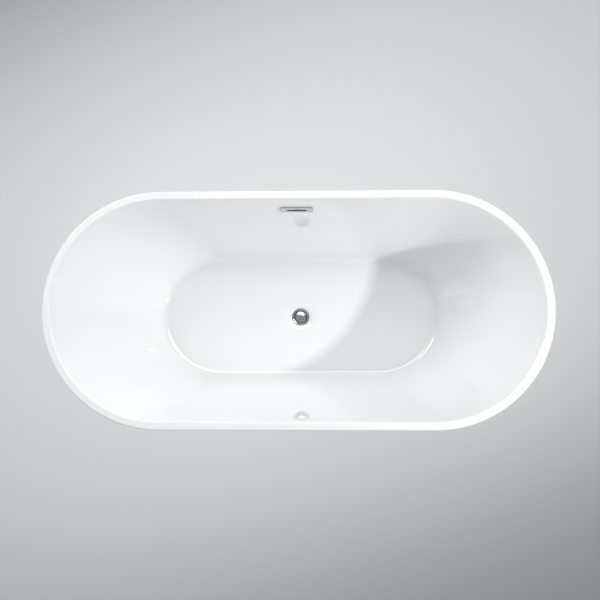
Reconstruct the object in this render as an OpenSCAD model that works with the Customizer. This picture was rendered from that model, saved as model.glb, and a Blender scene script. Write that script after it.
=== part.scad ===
// Freestanding double-ended bathtub: an acrylic basin bonded into an acrylic skirt, on a steel frame with
// four levelling feet, with a press-to-close waste in its floor and a slotted overflow in its back wall.
// Millimetres, +Z up, +X along the bath, +Y to the back. The origin is on the ground, under its middle.

/* [Overall size] */
// Length over the rim
bath_l = 1700; // [1400:10:2050]
// Width over the rim
bath_w = 795; // [740:5:960]
// Height from the ground to the top of the rim
bath_h = 580; // [540:5:700]

/* [Basin] */
// Width of the flat rim, from its outer face to the inner wall
rim_w = 27; // [24:1:36]
// Thickness of the rim
rim_t = 7; // [5:0.5:9]
// Height of the lip that turns down from the rim
lip_h = 18; // [14:1:24]
// Thickness of that lip
lip_t = 5; // [4:0.5:6]
// Radius of the rim's outer edge
rim_edge_r = 4; // [2:0.5:4]
// Height of the rounding where the rim turns into the inner wall
rim_round_h = 4; // [2:0.5:5]
// Thickness of the wall, sheet and glass fibre together
wall_t = 7; // [5:0.5:9]
// Height of the well's floor above the ground, at the floor's edge
floor_z = 142; // [138:1:170]
// Lean of the two backrests from upright, in degrees
backrest_lean = 34.8; // [28:0.2:38]
// Lean of the long walls from upright, in degrees
side_lean = 18.9; // [12:0.1:22]
// Fall of the floor from its edge to the waste
floor_fall = 5; // [2:1:8]
// Thickness of the floor at the waste
floor_t = 10; // [9:0.5:12]
// Height of the rounding between floor and wall
cove_h = 16; // [12:1:22]
// Hollow of the backrests at mid height
backrest_bow = 8; // [0:1:14]

/* [Skirt] */
// How far the skirt's foot stands in from the rim, at the two ends
skirt_inset_l = 125; // [60:5:160]
// How far the skirt's foot stands in from the rim, at the two sides
skirt_inset_w = 97; // [60:1:110]
// Thickness of the skirt
skirt_t = 5; // [4:0.5:6]
// Gap between the skirt and the ground
toe_gap = 5; // [5:1:10]
// Width of the foot flange inside the skirt's lower edge
toe_w = 30; // [28:1:40]
// Thickness of that flange
toe_t = 6; // [5:0.5:8]
// How strongly the skirt curves in towards the ground
skirt_curve = 1.8; // [1.2:0.1:2.4]
// Thickness of the adhesive between the two shells
bond_t = 1.5; // [1:0.5:3]

/* [Frame] */
// Side of the square steel tube
tube = 30; // [25:1:32]
// Wall of the steel tube
tube_t = 2; // [1.5:0.5:3]
// Thickness of the board bonded under the floor
board_t = 15; // [12:1:18]
// Margin of the board inside the flat underside of the floor
board_margin = 20; // [10:1:30]
// Diameter of the board's opening round the waste
board_hole_d = 110; // [90:5:130]
// Distance between the two long rails, centre to centre
rail_gap = 240; // [210:5:260]
// Distance from the end of the straight sides in to the middle of the nearer end crossbar
crossbar_in = 12.5; // [0:0.5:40]
// Space between a crossbar's end and the inner edge of the skirt's foot flange
crossbar_space = 30; // [20:1:40]
// Distance between the two middle braces, centre to centre
brace_gap = 340; // [300:10:400]
// Diameter of the screws that hold the frame to the board
screw_d = 5; // [4:0.5:6]
// Width of the brackets between frame and skirt
bracket_w = 30; // [25:1:40]
// Thickness of those brackets
bracket_t = 3; // [2:0.5:4]
// Diameter of the bolts through the skirt's foot flange
bolt_d = 6; // [5:1:8]

/* [Feet] */
// Distance from a crossbar's end to the foot's axis
foot_inset = 52; // [48:1:60]
// Diameter of the threaded stud
stud_d = 12; // [10:1:14]
// Width of the stud's hexagon across its corners
stud_hex = 19.6; // [18:0.1:22]
// Diameter of the foot pad
pad_d = 54; // [44:1:60]
// Height of the foot pad
pad_h = 16; // [14:1:18]
// How far a foot screws out below its resting place
foot_out = 20; // [10:1:20]
// How far a foot screws in
foot_in = 4; // [2:1:4]
// Height of a nut on the stud
nut_h = 10; // [8:1:11]

/* [Waste] */
// Inside diameter of the throat
throat_d = 35; // [30:1:42]
// Wall of the flange's threaded body, thread included
waste_wall = 6.4; // [5:0.1:8]
// Width of the chromed ring outside that body
flange_ring = 9.1; // [8:0.1:12]
// Length of the flange's threaded body below the floor
waste_thread_l = 32; // [28:1:34]
// How far the plug's cap reaches past the throat
cap_over = 2.5; // [2:0.5:4]
// Travel of the plug between closed and open
plug_travel = 9; // [7:0.5:9]
// Diameter of the plug's stem
stem_d = 6; // [5:0.5:7]
// Height of the overflow's branch above the ground
branch_z = 60; // [58:1:62]
// Outside diameter of the tailpiece
tail_d = 38.1; // [36:0.1:40]
// Wall of the tailpiece
tail_t = 1.5; // [1:0.5:2]
// Height of the tailpiece's lower end above the ground
tail_z = 5; // [5:1:8]

/* [Overflow] */
// Width of the slotted plate
plate_w = 110; // [104:1:130]
// Height of the slotted plate
plate_h = 26; // [24:1:32]
// Thickness of the slotted plate
plate_t = 5; // [4:0.5:7]
// Width of the slot
slot_w = 66; // [50:1:68]
// Height of the slot
slot_h = 9; // [8:0.5:10]
// Depth of the plate's middle below the top of the rim
plate_drop = 68; // [64:1:90]
// Outside diameter of the overflow hose
hose_d = 28; // [24:1:30]
// Wall of the overflow hose
hose_t = 2; // [1.5:0.5:3]
// Radius of the bend in the hose, to its middle line
hose_bend = 110; // [90:5:115]

/* [Hidden] */
$fn = 64;
cut = 1; // how far a cutting shape runs past the face that it cuts
end_steps = 44; // chords in each round end of the two shells
running = 0.05; // clearance of a running fit, on the radius
loose = 0.5; // clearance of a hole round a fastener, on the radius

acrylic = [0.95, 0.95, 0.95];
adhesive = [0.8, 0.8, 0.74];
plywood = [0.72, 0.58, 0.4];
chrome = [0.78, 0.79, 0.81];
paint = [0.22, 0.23, 0.25];
zinc = [0.66, 0.67, 0.66];
rubber = [0.12, 0.12, 0.12];
white_plastic = [0.88, 0.88, 0.86];
black_plastic = [0.16, 0.16, 0.17];

// ---- levels, from the ground up ----
drain_z = floor_z - floor_fall; // the floor's surface at the waste
under_z = drain_z - floor_t; // the flat underside of the floor
board_z = under_z - board_t;
frame_z = board_z - tube; // the frame's underside
lip_z = bath_h - lip_h;
rim_under_z = bath_h - rim_t;
skirt_top_z = rim_under_z - bond_t;

// ---- waste diameters ----
waste_thread_d = throat_d + 2 * waste_wall;
flange_d = waste_thread_d + 2 * flange_ring;
cap_d = throat_d + 2 * cap_over;

// ---- half sizes ----
rim_a = bath_l / 2;
rim_b = bath_w / 2;
well_a = rim_a - rim_w;
well_b = rim_b - rim_w;
well_depth = bath_h - floor_z;
floor_a = well_a - well_depth * tan(backrest_lean);
floor_b = well_b - well_depth * tan(side_lean);
lip_in = lip_t + bond_t / 2; // from the rim's outer face to the skirt's

// ---- lofts ----
// The shells are lofts of rings. A ring is a straight-sided outline with round ends, given by its half
// length, half width and height.
function ring(size) = [
    for (end = [0, 1], i = [0 : end_steps])
        let (turn = -90 + 180 * end + 180 * i / end_steps)
        [(end == 0 ? 1 : -1) * (size[0] - size[1]) + size[1] * cos(turn), size[1] * sin(turn), size[2]]
];

// A closed skin through rings. With loop set, the last ring joins the first; without, both ends are capped.
module loft(sizes, loop) {
    count = len(sizes);
    n = 2 * (end_steps + 1);
    sides = [
        for (j = [0 : count - (loop ? 1 : 2)], i = [0 : n - 1])
            let (k = (j + 1) % count, m = (i + 1) % n)
            each [[j * n + i, j * n + m, k * n + m], [j * n + i, k * n + m, k * n + i]]
    ];
    caps = loop ? [] : [[for (i = [n - 1 : -1 : 0]) i], [for (i = [0 : n - 1]) (count - 1) * n + i]];
    polyhedron([for (size = sizes) each ring(size)], concat(sides, caps), convexity = 8);
}

// The same outline with true arcs, for flat pieces.
module stadium(l, w) {
    square([l - w, w], center = true);
    for (side = [-1, 1]) translate([side * (l - w) / 2, 0]) circle(d = w);
}

module rounded_rect(l, w, r) {
    square([l - 2 * r, w], center = true);
    square([l, w - 2 * r], center = true);
    for (x = [-1, 1], y = [-1, 1]) translate([x * (l / 2 - r), y * (w / 2 - r)]) circle(r);
}

// A ring round +Z from z0 to z1, between two radii.
module tube_ring(r_in, r_out, z0, z1)
    translate([0, 0, z0]) linear_extrude(z1 - z0) difference() { circle(r_out); circle(r_in); }

// A hexagonal nut round +Z from z0 up, across its corners.
module hex_nut(bore, corners, z0, h)
    translate([0, 0, z0]) linear_extrude(h) difference() { circle(d = corners, $fn = 6); circle(d = bore); }

// ---- basin ----
// Half length and half width of the well's wall at height z, before any rounding, moved out by t.
function wall_at(z, t) =
    let (f = (z - floor_z) / well_depth)
    [
        floor_a + (well_a - floor_a) * f + backrest_bow * 4 * max(f, 0) * (1 - f) + t / cos(backrest_lean),
        floor_b + (well_b - floor_b) * f + t / cos(side_lean)
    ];

// Lean of the same two walls from upright at height z.
function lean_at(z) =
    let (f = (z - floor_z) / well_depth)
    [
        atan((well_a - floor_a + (f > 0 ? backrest_bow * 4 * (1 - 2 * f) : 0)) / well_depth),
        side_lean
    ];

// An arc of height h joins a level plane to a wall of the given lean. This is how far the arc has left the
// upright through its upper end when it is k off the plane, measured towards the plane.
function arc_back(h, lean, k) =
    let (r = h / (1 - sin(lean)))
    r * cos(lean) - sqrt(r * r - pow(r - k, 2));

// Rings of the cove between the level plane at height z and the wall moved out by t, from the plane upwards.
function cove_rings(z, h, t, steps) = [
    for (i = [0 : steps])
        let (k = h * pow(i / steps, 2), wall = wall_at(z + h, t), lean = lean_at(z + h))
        [wall[0] - arc_back(h, lean[0], k), wall[1] - arc_back(h, lean[1], k), z + k]
];

// Rings of the rounding between the wall and the level rim, upwards.
function round_rings(z, h, steps) = [
    for (i = [0 : steps])
        let (k = h * pow(1 - i / steps, 2), wall = wall_at(z - h, 0), lean = lean_at(z - h))
        [wall[0] + arc_back(h, lean[0], k), wall[1] + arc_back(h, lean[1], k), z - k]
];

function wall_rings(z0, z1, t, steps) = [
    for (i = [0 : steps]) let (z = z0 + (z1 - z0) * i / steps) [wall_at(z, t)[0], wall_at(z, t)[1], z]
];

cove_steps = 5;
wall_steps = 6;
round_steps = 4;
outer_cove_h = cove_h + wall_t / 2;
flat_a = 1.5 * flange_d; // half length of the level patch round the waste
flat_b = flange_d;

inner_rings = concat(
    [[flat_a, flat_b, drain_z]],
    cove_rings(floor_z, cove_h, 0, cove_steps),
    [for (i = [1 : wall_steps - 1]) wall_rings(floor_z + cove_h, bath_h - rim_round_h, 0, wall_steps)[i]],
    round_rings(bath_h, rim_round_h, round_steps)
);

rim_rings = concat(
    [
        for (turn = [0 : 22.5 : 90])
            let (back = rim_edge_r * (1 - sin(turn)))
            [rim_a - back, rim_b - back, bath_h - rim_edge_r * (1 - cos(turn))]
    ],
    [
        [rim_a, rim_b, lip_z],
        [rim_a - lip_t, rim_b - lip_t, lip_z],
        [rim_a - lip_t, rim_b - lip_t, rim_under_z]
    ]
);

outer_rings = concat(
    wall_rings(rim_under_z, under_z + outer_cove_h, wall_t, wall_steps),
    [for (i = [cove_steps - 1 : -1 : 0]) cove_rings(under_z, outer_cove_h, wall_t, cove_steps)[i]],
    [[flat_a, flat_b, under_z]]
);

module basin() color(acrylic) difference() {
    loft(concat(inner_rings, rim_rings, outer_rings), false);
    translate([0, 0, flange_seat_z]) cylinder(d = flange_d + 2 * loose, h = floor_t);
    translate([0, 0, under_z - cut]) cylinder(d = waste_thread_d + 2 * loose, h = floor_t + 2 * cut);
    on_wall(-wall_t - cut, wall_t + 2 * cut) overflow_opening(true);
}

// ---- skirt ----
// Half length and half width of the skirt's outer face at height z.
function skirt_at(z) =
    let (f = 1 - pow(1 - (z - toe_gap) / (skirt_top_z - toe_gap), skirt_curve))
    [
        rim_a - skirt_inset_l + (skirt_inset_l - lip_in) * f,
        rim_b - skirt_inset_w + (skirt_inset_w - lip_in) * f
    ];

function skirt_rings(z0, z1, t, steps) = [
    for (i = [0 : steps]) let (z = z0 + (z1 - z0) * i / steps) [skirt_at(z)[0] - t, skirt_at(z)[1] - t, z]
];

skirt_steps = 11;
toe_top_z = toe_gap + toe_t;
toe_a = skirt_at(toe_gap)[0] - skirt_t - toe_w;
toe_b = skirt_at(toe_gap)[1] - skirt_t - toe_w;

module skirt() color(acrylic) difference() {
    loft(concat(
        skirt_rings(toe_gap, skirt_top_z, 0, skirt_steps),
        skirt_rings(skirt_top_z, toe_top_z, skirt_t, skirt_steps),
        [[toe_a, toe_b, toe_top_z], [toe_a, toe_b, toe_gap]]
    ), true);
    at_feet() translate([0, bolt_y, toe_gap - cut]) cylinder(d = bolt_d + loose, h = toe_t + 2 * cut);
    at_feet() translate([0, bolt_y, toe_gap - cut / 10]) bolt_head(loose / 2);
}

module rim_bond() color(adhesive) loft([
    for (corner = [[0, 0], [0, 1], [1, 1], [1, 0]])
        let (back = lip_t + corner[0] * (skirt_t + 2 * bond_t))
        [rim_a - back, rim_b - back, skirt_top_z + corner[1] * bond_t]
], true);

// ---- board and frame ----
board_a = cove_rings(under_z, outer_cove_h, wall_t, 1)[0][0] - board_margin;
board_b = cove_rings(under_z, outer_cove_h, wall_t, 1)[0][1] - board_margin;
crossbar_x = rim_a - rim_b - crossbar_in;
crossbar_end = toe_b - crossbar_space;
rail_y = rail_gap / 2;
brace_x = brace_gap / 2;
foot_y = crossbar_end - foot_inset;
rail_screws = [for (side = [-1, 1], x = [-0.85, -0.25, 0.25, 0.85]) [x * crossbar_x, side * rail_y]];
screw_bite = 12; // how far the frame's screws go into the board
screw_head_h = 3;
cap_t = 3; // thickness of a tube cap's flange
cap_plug = 12; // how far a tube cap reaches into its tube

module base_board() color(plywood) difference() {
    translate([0, 0, board_z]) linear_extrude(board_t) difference() {
        stadium(2 * board_a, 2 * board_b);
        circle(d = board_hole_d);
    }
    for (at = rail_screws)
        translate([at[0], at[1], board_z - cut]) cylinder(d = screw_d, h = screw_bite + cut);
}

// A level square tube of length l along +X, with its middle at the origin and its underside at z = 0.
module square_tube(l) {
    bore = tube - 2 * tube_t;
    difference() {
        translate([-l / 2, -tube / 2, 0]) cube([l, tube, tube]);
        translate([-l / 2 - cut, -bore / 2, tube_t]) cube([l + 2 * cut, bore, bore]);
    }
}

module rail(side) color(paint) difference() {
    translate([0, side * rail_y, frame_z]) square_tube(2 * crossbar_x - tube);
    for (at = rail_screws)
        translate([at[0], at[1], frame_z - cut]) cylinder(d = screw_d + loose, h = tube + 2 * cut);
}

module crossbar(side) color(paint) difference() {
    translate([side * crossbar_x, 0, frame_z]) rotate([0, 0, 90]) square_tube(2 * crossbar_end);
    at_feet() translate([0, foot_y, frame_z - cut]) cylinder(d = stud_d + 2 * loose, h = tube_t + 2 * cut);
    at_feet() translate([0, bracket_screw_y, frame_z - cut]) cylinder(d = screw_d, h = tube_t + 2 * cut);
}

module brace(side) color(paint)
    translate([side * brace_x, 0, frame_z]) rotate([0, 0, 90]) square_tube(rail_gap - tube);

module tube_caps() color(black_plastic) at_feet() translate([0, crossbar_end, frame_z]) {
    translate([-tube / 2, 0, 0]) cube([tube, cap_t, tube]);
    translate([tube_t - tube / 2, -cap_plug, tube_t])
        cube([tube - 2 * tube_t, cap_plug + cut, tube - 2 * tube_t]);
}

module frame_screws() color(zinc) for (at = rail_screws) translate([at[0], at[1], 0]) {
    translate([0, 0, frame_z - cut]) cylinder(d = screw_d, h = tube + cut + screw_bite);
    translate([0, 0, frame_z - screw_head_h]) cylinder(d = 2 * screw_d, h = screw_head_h);
}

// Draws its children at a corner of the frame, or at all four. Corner 1 is at +X +Y, and the numbers run
// anticlockwise, seen from above.
module at_foot(at)
    translate([(at == 1 || at == 4 ? 1 : -1) * crossbar_x, 0, 0]) mirror([0, at > 2 ? 1 : 0, 0]) children();

module at_feet() for (at = [1 : 4]) at_foot(at) children();

// ---- brackets between frame and skirt ----
bracket_drop_y = crossbar_end + cap_t + 9; // the bracket's upright, outside the tube's cap
bracket_screw_y = crossbar_end - 16;
bracket_top_y = bracket_screw_y - 10;
bolt_y = toe_b + 15;
bracket_toe_y = bolt_y + 11;

module skirt_bracket(at) color(zinc) at_foot(at) difference() {
    translate([-bracket_w / 2, 0, 0]) rotate([90, 0, 90]) linear_extrude(bracket_w) polygon([
        [bracket_top_y, frame_z - bracket_t], [bracket_top_y, frame_z],
        [bracket_drop_y, frame_z], [bracket_drop_y, toe_top_z + bracket_t],
        [bracket_toe_y, toe_top_z + bracket_t], [bracket_toe_y, toe_top_z],
        [bracket_drop_y - bracket_t, toe_top_z], [bracket_drop_y - bracket_t, frame_z - bracket_t]
    ]);
    translate([0, bracket_screw_y, frame_z - bracket_t - cut]) cylinder(d = screw_d, h = bracket_t + 2 * cut);
    translate([0, bolt_y, toe_top_z - cut]) cylinder(d = bolt_d + loose, h = bracket_t + 2 * cut);
}

module bracket_screws() color(zinc) at_feet() translate([0, bracket_screw_y, frame_z - bracket_t]) {
    cylinder(d = screw_d, h = bracket_t + tube / 3);
    translate([0, 0, -screw_head_h]) cylinder(d = 2 * screw_d, h = screw_head_h);
}

// The countersunk head of a bolt, wider by grow all round.
module bolt_head(grow) cylinder(d1 = 2 * bolt_d + 2 * grow, d2 = bolt_d + 2 * grow, h = bolt_d / 2);

module bracket_bolts() color(zinc) at_feet() translate([0, bolt_y, toe_gap]) {
    bolt_head(0);
    cylinder(d = bolt_d, h = toe_t + bracket_t + bolt_d + 2);
}

module bracket_nuts() color(zinc) at_feet() translate([0, bolt_y, 0])
    hex_nut(bolt_d, 1.85 * bolt_d, toe_top_z + bracket_t, 0.8 * bolt_d);

// ---- levelling feet ----
pad_floor = 5; // rubber under the stud's end
hex_h = 8;
stud_top_z = board_z - tube_t - foot_in - 2;

module foot_pad(at) color(rubber) at_foot(at) translate([0, foot_y, 0]) rotate_extrude() polygon([
    [0, 0], [pad_d / 2 - 1, 0], [pad_d / 2, 1], [pad_d / 2, pad_floor],
    [pad_d / 4 + 1, pad_h], [stud_d / 2 + running, pad_h], [stud_d / 2 + running, pad_floor], [0, pad_floor]
]);

module foot_stud(at) color(zinc) at_foot(at) translate([0, foot_y, 0]) {
    translate([0, 0, pad_floor + running]) cylinder(d = stud_d, h = stud_top_z - pad_floor - running);
    translate([0, 0, pad_h + cut]) cylinder(d = stud_hex, h = hex_h, $fn = 6);
}

module weld_nuts() color(zinc) at_feet() translate([0, foot_y, 0])
    hex_nut(stud_d + 2 * running, stud_hex + 2, frame_z - nut_h, nut_h);

module lock_nuts() color(zinc) at_feet() translate([0, foot_y, 0])
    hex_nut(stud_d + 2 * running, stud_hex + 1.2, frame_z - 2 * nut_h, nut_h - 0.2);

// ---- waste ----
seal_t = 1.5; // thickness of the seal under the flange
flange_t = 4; // thickness of the flange at its rim
flange_proud = 0.5; // how far the flange stands over the floor
flange_top_z = drain_z + flange_proud;
flange_seat_z = flange_top_z - flange_t - seal_t;
gasket_t = 3; // thickness of the seal under the floor
thread_z = under_z - waste_thread_l; // lower end of the flange's body
seat_r = throat_d / 2 + 2.5;
seat_z = drain_z - 4.5;
spider_z = thread_z + 6;
spider_t = 6;
hub_r = 9;
spigot_r = 5; // of the sleeve, in the spider's hub
sleeve_r = 8;
piston_r = 6;
lip_gap = 2.2; // from the closed cap's underside down to the sleeve's top
cap_z = drain_z - 4 + plug_travel; // underside of the open cap
cap_t_edge = 3.6;
sleeve_top_z = cap_z - plug_travel - lip_gap;
sleeve_z = spider_z + spider_t;
piston_h = 4;
piston_z = sleeve_top_z - 2 - piston_h - running;
spring_z = sleeve_z + 2;

module drain_flange() color(chrome) {
    rotate_extrude() polygon([
        [seat_r, seat_z], [flange_d / 2 - 3, flange_top_z - 0.2],
        [flange_d / 2 - 2, flange_top_z], [flange_d / 2 - 1, flange_top_z],
        [flange_d / 2, flange_top_z - 1], [flange_d / 2, flange_seat_z + seal_t],
        [waste_thread_d / 2, flange_seat_z + seal_t], [waste_thread_d / 2, thread_z],
        [throat_d / 2, thread_z], [throat_d / 2, seat_z - 2.5]
    ]);
    difference() {
        translate([0, 0, spider_z]) linear_extrude(spider_t) {
            circle(hub_r);
            for (turn = [60, 180, 300]) rotate(turn) translate([0, -2]) square([throat_d / 2 + 1, 4]);
        }
        translate([0, 0, spider_z - cut]) cylinder(r = spigot_r, h = spider_t + 2 * cut);
    }
}

module drain_seal_top() color(rubber)
    tube_ring(waste_thread_d / 2 + loose, flange_d / 2 - 1, flange_seat_z, flange_seat_z + seal_t);

module drain_seal_bottom() color(rubber)
    tube_ring(waste_thread_d / 2 + loose, collar_r + 4, under_z - gasket_t, under_z);

collar_r = waste_thread_d / 2 + 5;
tee_r = throat_d / 2 + 3.5;
spout_r = hose_d / 2 - hose_t; // of the two spouts that the hose fits over
trunk_z = branch_z - hose_d / 2 - 5; // lower end of the tee's wide part
spout_t = 2.5;
spout_l = 24;
branch_l = 60; // from the waste's axis to the branch's shoulder
socket_z = 30; // lower end of the tee's socket
socket_depth = 16;
socket_r = tail_d / 2 + 3.4;

module waste_tee() color(white_plastic) difference() {
    union() {
        translate([0, 0, under_z - gasket_t - 4]) cylinder(r = collar_r + 4, h = 4);
        translate([0, 0, thread_z - 3]) cylinder(r = collar_r, h = waste_thread_l - gasket_t);
        translate([0, 0, trunk_z]) cylinder(r = tee_r, h = thread_z - trunk_z);
        translate([0, 0, socket_z]) cylinder(r = socket_r, h = socket_depth + 3);
        translate([0, 0, branch_z]) rotate([-90, 0, 0]) {
            cylinder(r = spout_r + hose_t, h = branch_l);
            cylinder(r = spout_r, h = branch_l + spout_l);
        }
    }
    translate([0, 0, thread_z]) cylinder(d = waste_thread_d, h = waste_thread_l + cut);
    translate([0, 0, socket_z + socket_depth]) cylinder(d = throat_d, h = thread_z - socket_z);
    translate([0, 0, socket_z - cut]) cylinder(r = joint_r + running, h = socket_depth + cut);
    translate([0, 0, branch_z]) rotate([-90, 0, 0])
        cylinder(r = spout_r - spout_t, h = branch_l + spout_l + cut);
}

nut_t = 3.5; // wall of the tailpiece's nut
washer_h = 4;
washer_z = socket_z - washer_h;
tail_nut_z = washer_z - 3;
tail_shoulder = 0.5; // gap between the shoulder and the nut
neck = 0.4; // how far the stretch inside the joint is turned down, on the radius
joint_r = tail_d / 2 - neck;

// The full diameter ends in a shoulder below the joint.
module tailpiece() color(chrome) {
    tube_ring(tail_d / 2 - tail_t, tail_d / 2, tail_z, tail_nut_z - tail_shoulder);
    tube_ring(tail_d / 2 - tail_t, joint_r, tail_nut_z - tail_shoulder, socket_z + socket_depth);
}

module tailpiece_washer() color(rubber) tube_ring(joint_r, socket_r, washer_z, socket_z);

module tailpiece_nut() color(white_plastic) difference() {
    union() {
        translate([0, 0, tail_nut_z]) cylinder(r = socket_r + nut_t, h = 15);
        for (turn = [0 : 45 : 315]) rotate(turn)
            translate([socket_r + nut_t - 1, -2, tail_nut_z]) cube([3, 4, 15]);
    }
    translate([0, 0, washer_z]) cylinder(r = socket_r, h = 20);
    translate([0, 0, tail_nut_z - cut]) cylinder(d = tail_d + 2 * loose, h = 5);
}

// ---- plug ----
module plug_cap() color(chrome) translate([0, 0, cap_z]) rotate_extrude() polygon([
    [0, 0], [cap_d / 2 - 1, 0], [cap_d / 2, 0.8], [cap_d / 2, cap_t_edge - 1.4],
    for (turn = [10 : 20 : 90]) [cap_d / 2 - 1.4 + 1.4 * cos(turn), cap_t_edge - 1.4 + 1.4 * sin(turn)],
    [cap_d / 4, cap_t_edge + 0.9], [0, cap_t_edge + 1.2]
]);

seal_h = 2.8;
module plug_seal() color(rubber) rotate_extrude() polygon([
    [sleeve_r + 1, cap_z - seal_h], [throat_d / 2 - 0.5, cap_z - seal_h],
    [throat_d / 2 + 1.2, cap_z - 0.8], [throat_d / 2 + 1.2, cap_z], [sleeve_r + 1, cap_z]
]);

module plug_stem() color(chrome) {
    translate([0, 0, piston_z]) cylinder(r = piston_r, h = piston_h);
    translate([0, 0, piston_z]) cylinder(d = stem_d, h = cap_z - piston_z);
}

module plug_sleeve() color(chrome) difference() {
    union() {
        translate([0, 0, sleeve_z]) cylinder(r = sleeve_r, h = sleeve_top_z - sleeve_z);
        translate([0, 0, spider_z - 2]) cylinder(r = spigot_r, h = spider_t + 3);
    }
    translate([0, 0, spring_z]) cylinder(r = piston_r + running, h = sleeve_top_z - 2 - spring_z);
    translate([0, 0, spring_z]) cylinder(d = stem_d + 2 * running, h = sleeve_top_z);
}

// The spring's coil, as the sleeve that it fills.
module plug_spring() color(zinc) tube_ring(piston_r - 2, piston_r - 0.6, spring_z, piston_z);

// ---- overflow ----
plate_z = bath_h - plate_drop;
plate_y = wall_at(plate_z, 0)[1];
front_seal_t = 1;
back_gasket_t = 2;
box_flange_t = 3;
box_w = slot_w + 12;
box_wall = 2.5;
box_up = 16; // from the plate's middle line up to the box's top
box_down = 17; // and down to its underside
shell_space = 3; // between the box and the skirt
stud_x = plate_w / 2 - 8;
plate_stud_d = 5;
opening_r = 3;

// Children are flat shapes on the back wall, x along it and y up it, and become plates that run from
// height z0 above the wall's face, towards the bather, over the thickness t.
module on_wall(z0, t)
    translate([0, plate_y, plate_z]) rotate([90 - side_lean, 0, 0]) translate([0, 0, z0]) linear_extrude(t)
        children();

module overflow_opening(studs) {
    rounded_rect(slot_w + 6, slot_h + 7, opening_r);
    if (studs) for (x = [-1, 1]) translate([x * stud_x, 0]) circle(d = plate_stud_d + 2 * loose);
}

module overflow_plate() color(chrome) {
    on_wall(front_seal_t, plate_t) difference() {
        rounded_rect(plate_w, plate_h, 3);
        rounded_rect(slot_w, slot_h, 2);
    }
    back = wall_t + back_gasket_t + box_flange_t + 6;
    on_wall(-back, back + front_seal_t + 1)
        for (x = [-1, 1]) translate([x * stud_x, 0]) circle(d = plate_stud_d);
}

module overflow_seal() color(rubber) on_wall(0, front_seal_t) difference() {
    rounded_rect(plate_w - 3, plate_h - 3, 3);
    overflow_opening(true);
}

module overflow_gasket() color(rubber) on_wall(-wall_t - back_gasket_t, back_gasket_t) difference() {
    rounded_rect(plate_w - 2, box_up + box_down - 3, 4);
    overflow_opening(true);
}

// Room between the two shells at height z, square to the basin's wall.
function shell_room(z) = (skirt_at(z)[1] - skirt_t - wall_at(z, wall_t)[1]) * cos(side_lean);

hose_top_z = plate_z - (box_down + 2) * cos(side_lean);
hose_off = shell_room(hose_top_z) / 2; // from the basin's outer face to the hose's middle line
box_top_depth = shell_room(plate_z + box_up) - shell_space;
box_low_depth = hose_off + spout_r + 1.5;

// The box's outline, in steps out from the basin's outer face and up it, thinner by t.
module box_side(t) polygon([
    [back_gasket_t, t - box_down], [back_gasket_t, box_up - t],
    [box_top_depth - t, box_up - t], [box_low_depth - t, t - box_down]
]);

// Children are flat shapes, x out from the basin's outer face and y up it, and become prisms across the bath.
module across(width)
    translate([0, plate_y, plate_z]) rotate([90 - side_lean, 0, 0]) translate([0, 0, -wall_t])
        rotate([0, 90, 0]) translate([0, 0, -width / 2]) linear_extrude(width) children();

module spout(r, from, l)
    translate([0, plate_y, plate_z]) rotate([90 - side_lean, 0, 0])
        translate([0, from - box_down, -wall_t - hose_off]) rotate([90, 0, 0]) cylinder(r = r, h = l);

module overflow_box() color(white_plastic) difference() {
    union() {
        across(box_w) box_side(0);
        on_wall(-wall_t - back_gasket_t - box_flange_t, box_flange_t)
            rounded_rect(plate_w - 2, box_up + box_down - 3, 4);
        spout(spout_r, cut, spout_l + cut);
    }
    across(box_w - 2 * box_wall) box_side(box_wall);
    on_wall(-wall_t - back_gasket_t - box_flange_t - cut, box_flange_t + 2 * cut) overflow_opening(true);
    spout(spout_r - spout_t, box_wall + cut, spout_l + box_wall + 2 * cut);
}

module overflow_nuts() color(zinc)
    on_wall(-wall_t - back_gasket_t - box_flange_t - 4, 4) for (x = [-1, 1]) translate([x * stud_x, 0])
        difference() {
            circle(d = 8.8, $fn = 6);
            circle(d = plate_stud_d);
        }

// ---- overflow hose: a straight run beside the basin's wall, one bend, and a level run to the tee ----
hose_turn = 90 - side_lean;
hose_corner_y = wall_at(branch_z, wall_t)[1] + hose_off / cos(side_lean);
hose_tangent = hose_bend * tan(hose_turn / 2);
hose_bend_y = hose_corner_y - hose_tangent;
hose_start_y = branch_l + 1;
bend_steps = 10;
hose_sides = 24;
hose_rise = (hose_top_z - hose_off * sin(side_lean) - wall_t * sin(side_lean) - branch_z) / cos(side_lean)
    - hose_tangent;

// The hose's middle line as [y, z, direction in degrees from level], from the tee up to the overflow box.
hose_line = concat(
    [[hose_start_y, branch_z, 0]],
    [
        for (i = [0 : bend_steps])
            let (turn = hose_turn * i / bend_steps)
            [hose_bend_y + hose_bend * sin(turn), branch_z + hose_bend * (1 - cos(turn)), turn]
    ],
    [[
        hose_corner_y + (hose_tangent + hose_rise) * sin(side_lean),
        branch_z + (hose_tangent + hose_rise) * cos(side_lean),
        hose_turn
    ]]
);

// One skin: out along the hose's outside and back along its inside. The facets lie outside the bore's circle.
function hose_ring(at, r) = [
    for (i = [0 : hose_sides - 1])
        let (side = r * cos(360 * i / hose_sides), up = r * sin(360 * i / hose_sides))
        [side, at[0] - up * sin(at[2]), at[1] + up * cos(at[2])]
];

module overflow_hose() {
    n = hose_sides;
    count = len(hose_line);
    outside = [for (at = hose_line) each hose_ring(at, hose_d / 2)];
    inside = [
        for (j = [count - 1 : -1 : 0]) each hose_ring(hose_line[j], (hose_d / 2 - hose_t) / cos(180 / n))
    ];
    faces = [
        for (j = [0 : 2 * count - 1], i = [0 : n - 1])
            let (k = (j + 1) % (2 * count), m = (i + 1) % n)
            each [[j * n + i, j * n + m, k * n + m], [j * n + i, k * n + m, k * n + i]]
    ];
    color(white_plastic) polyhedron(concat(outside, inside), faces, convexity = 6);
}

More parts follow.
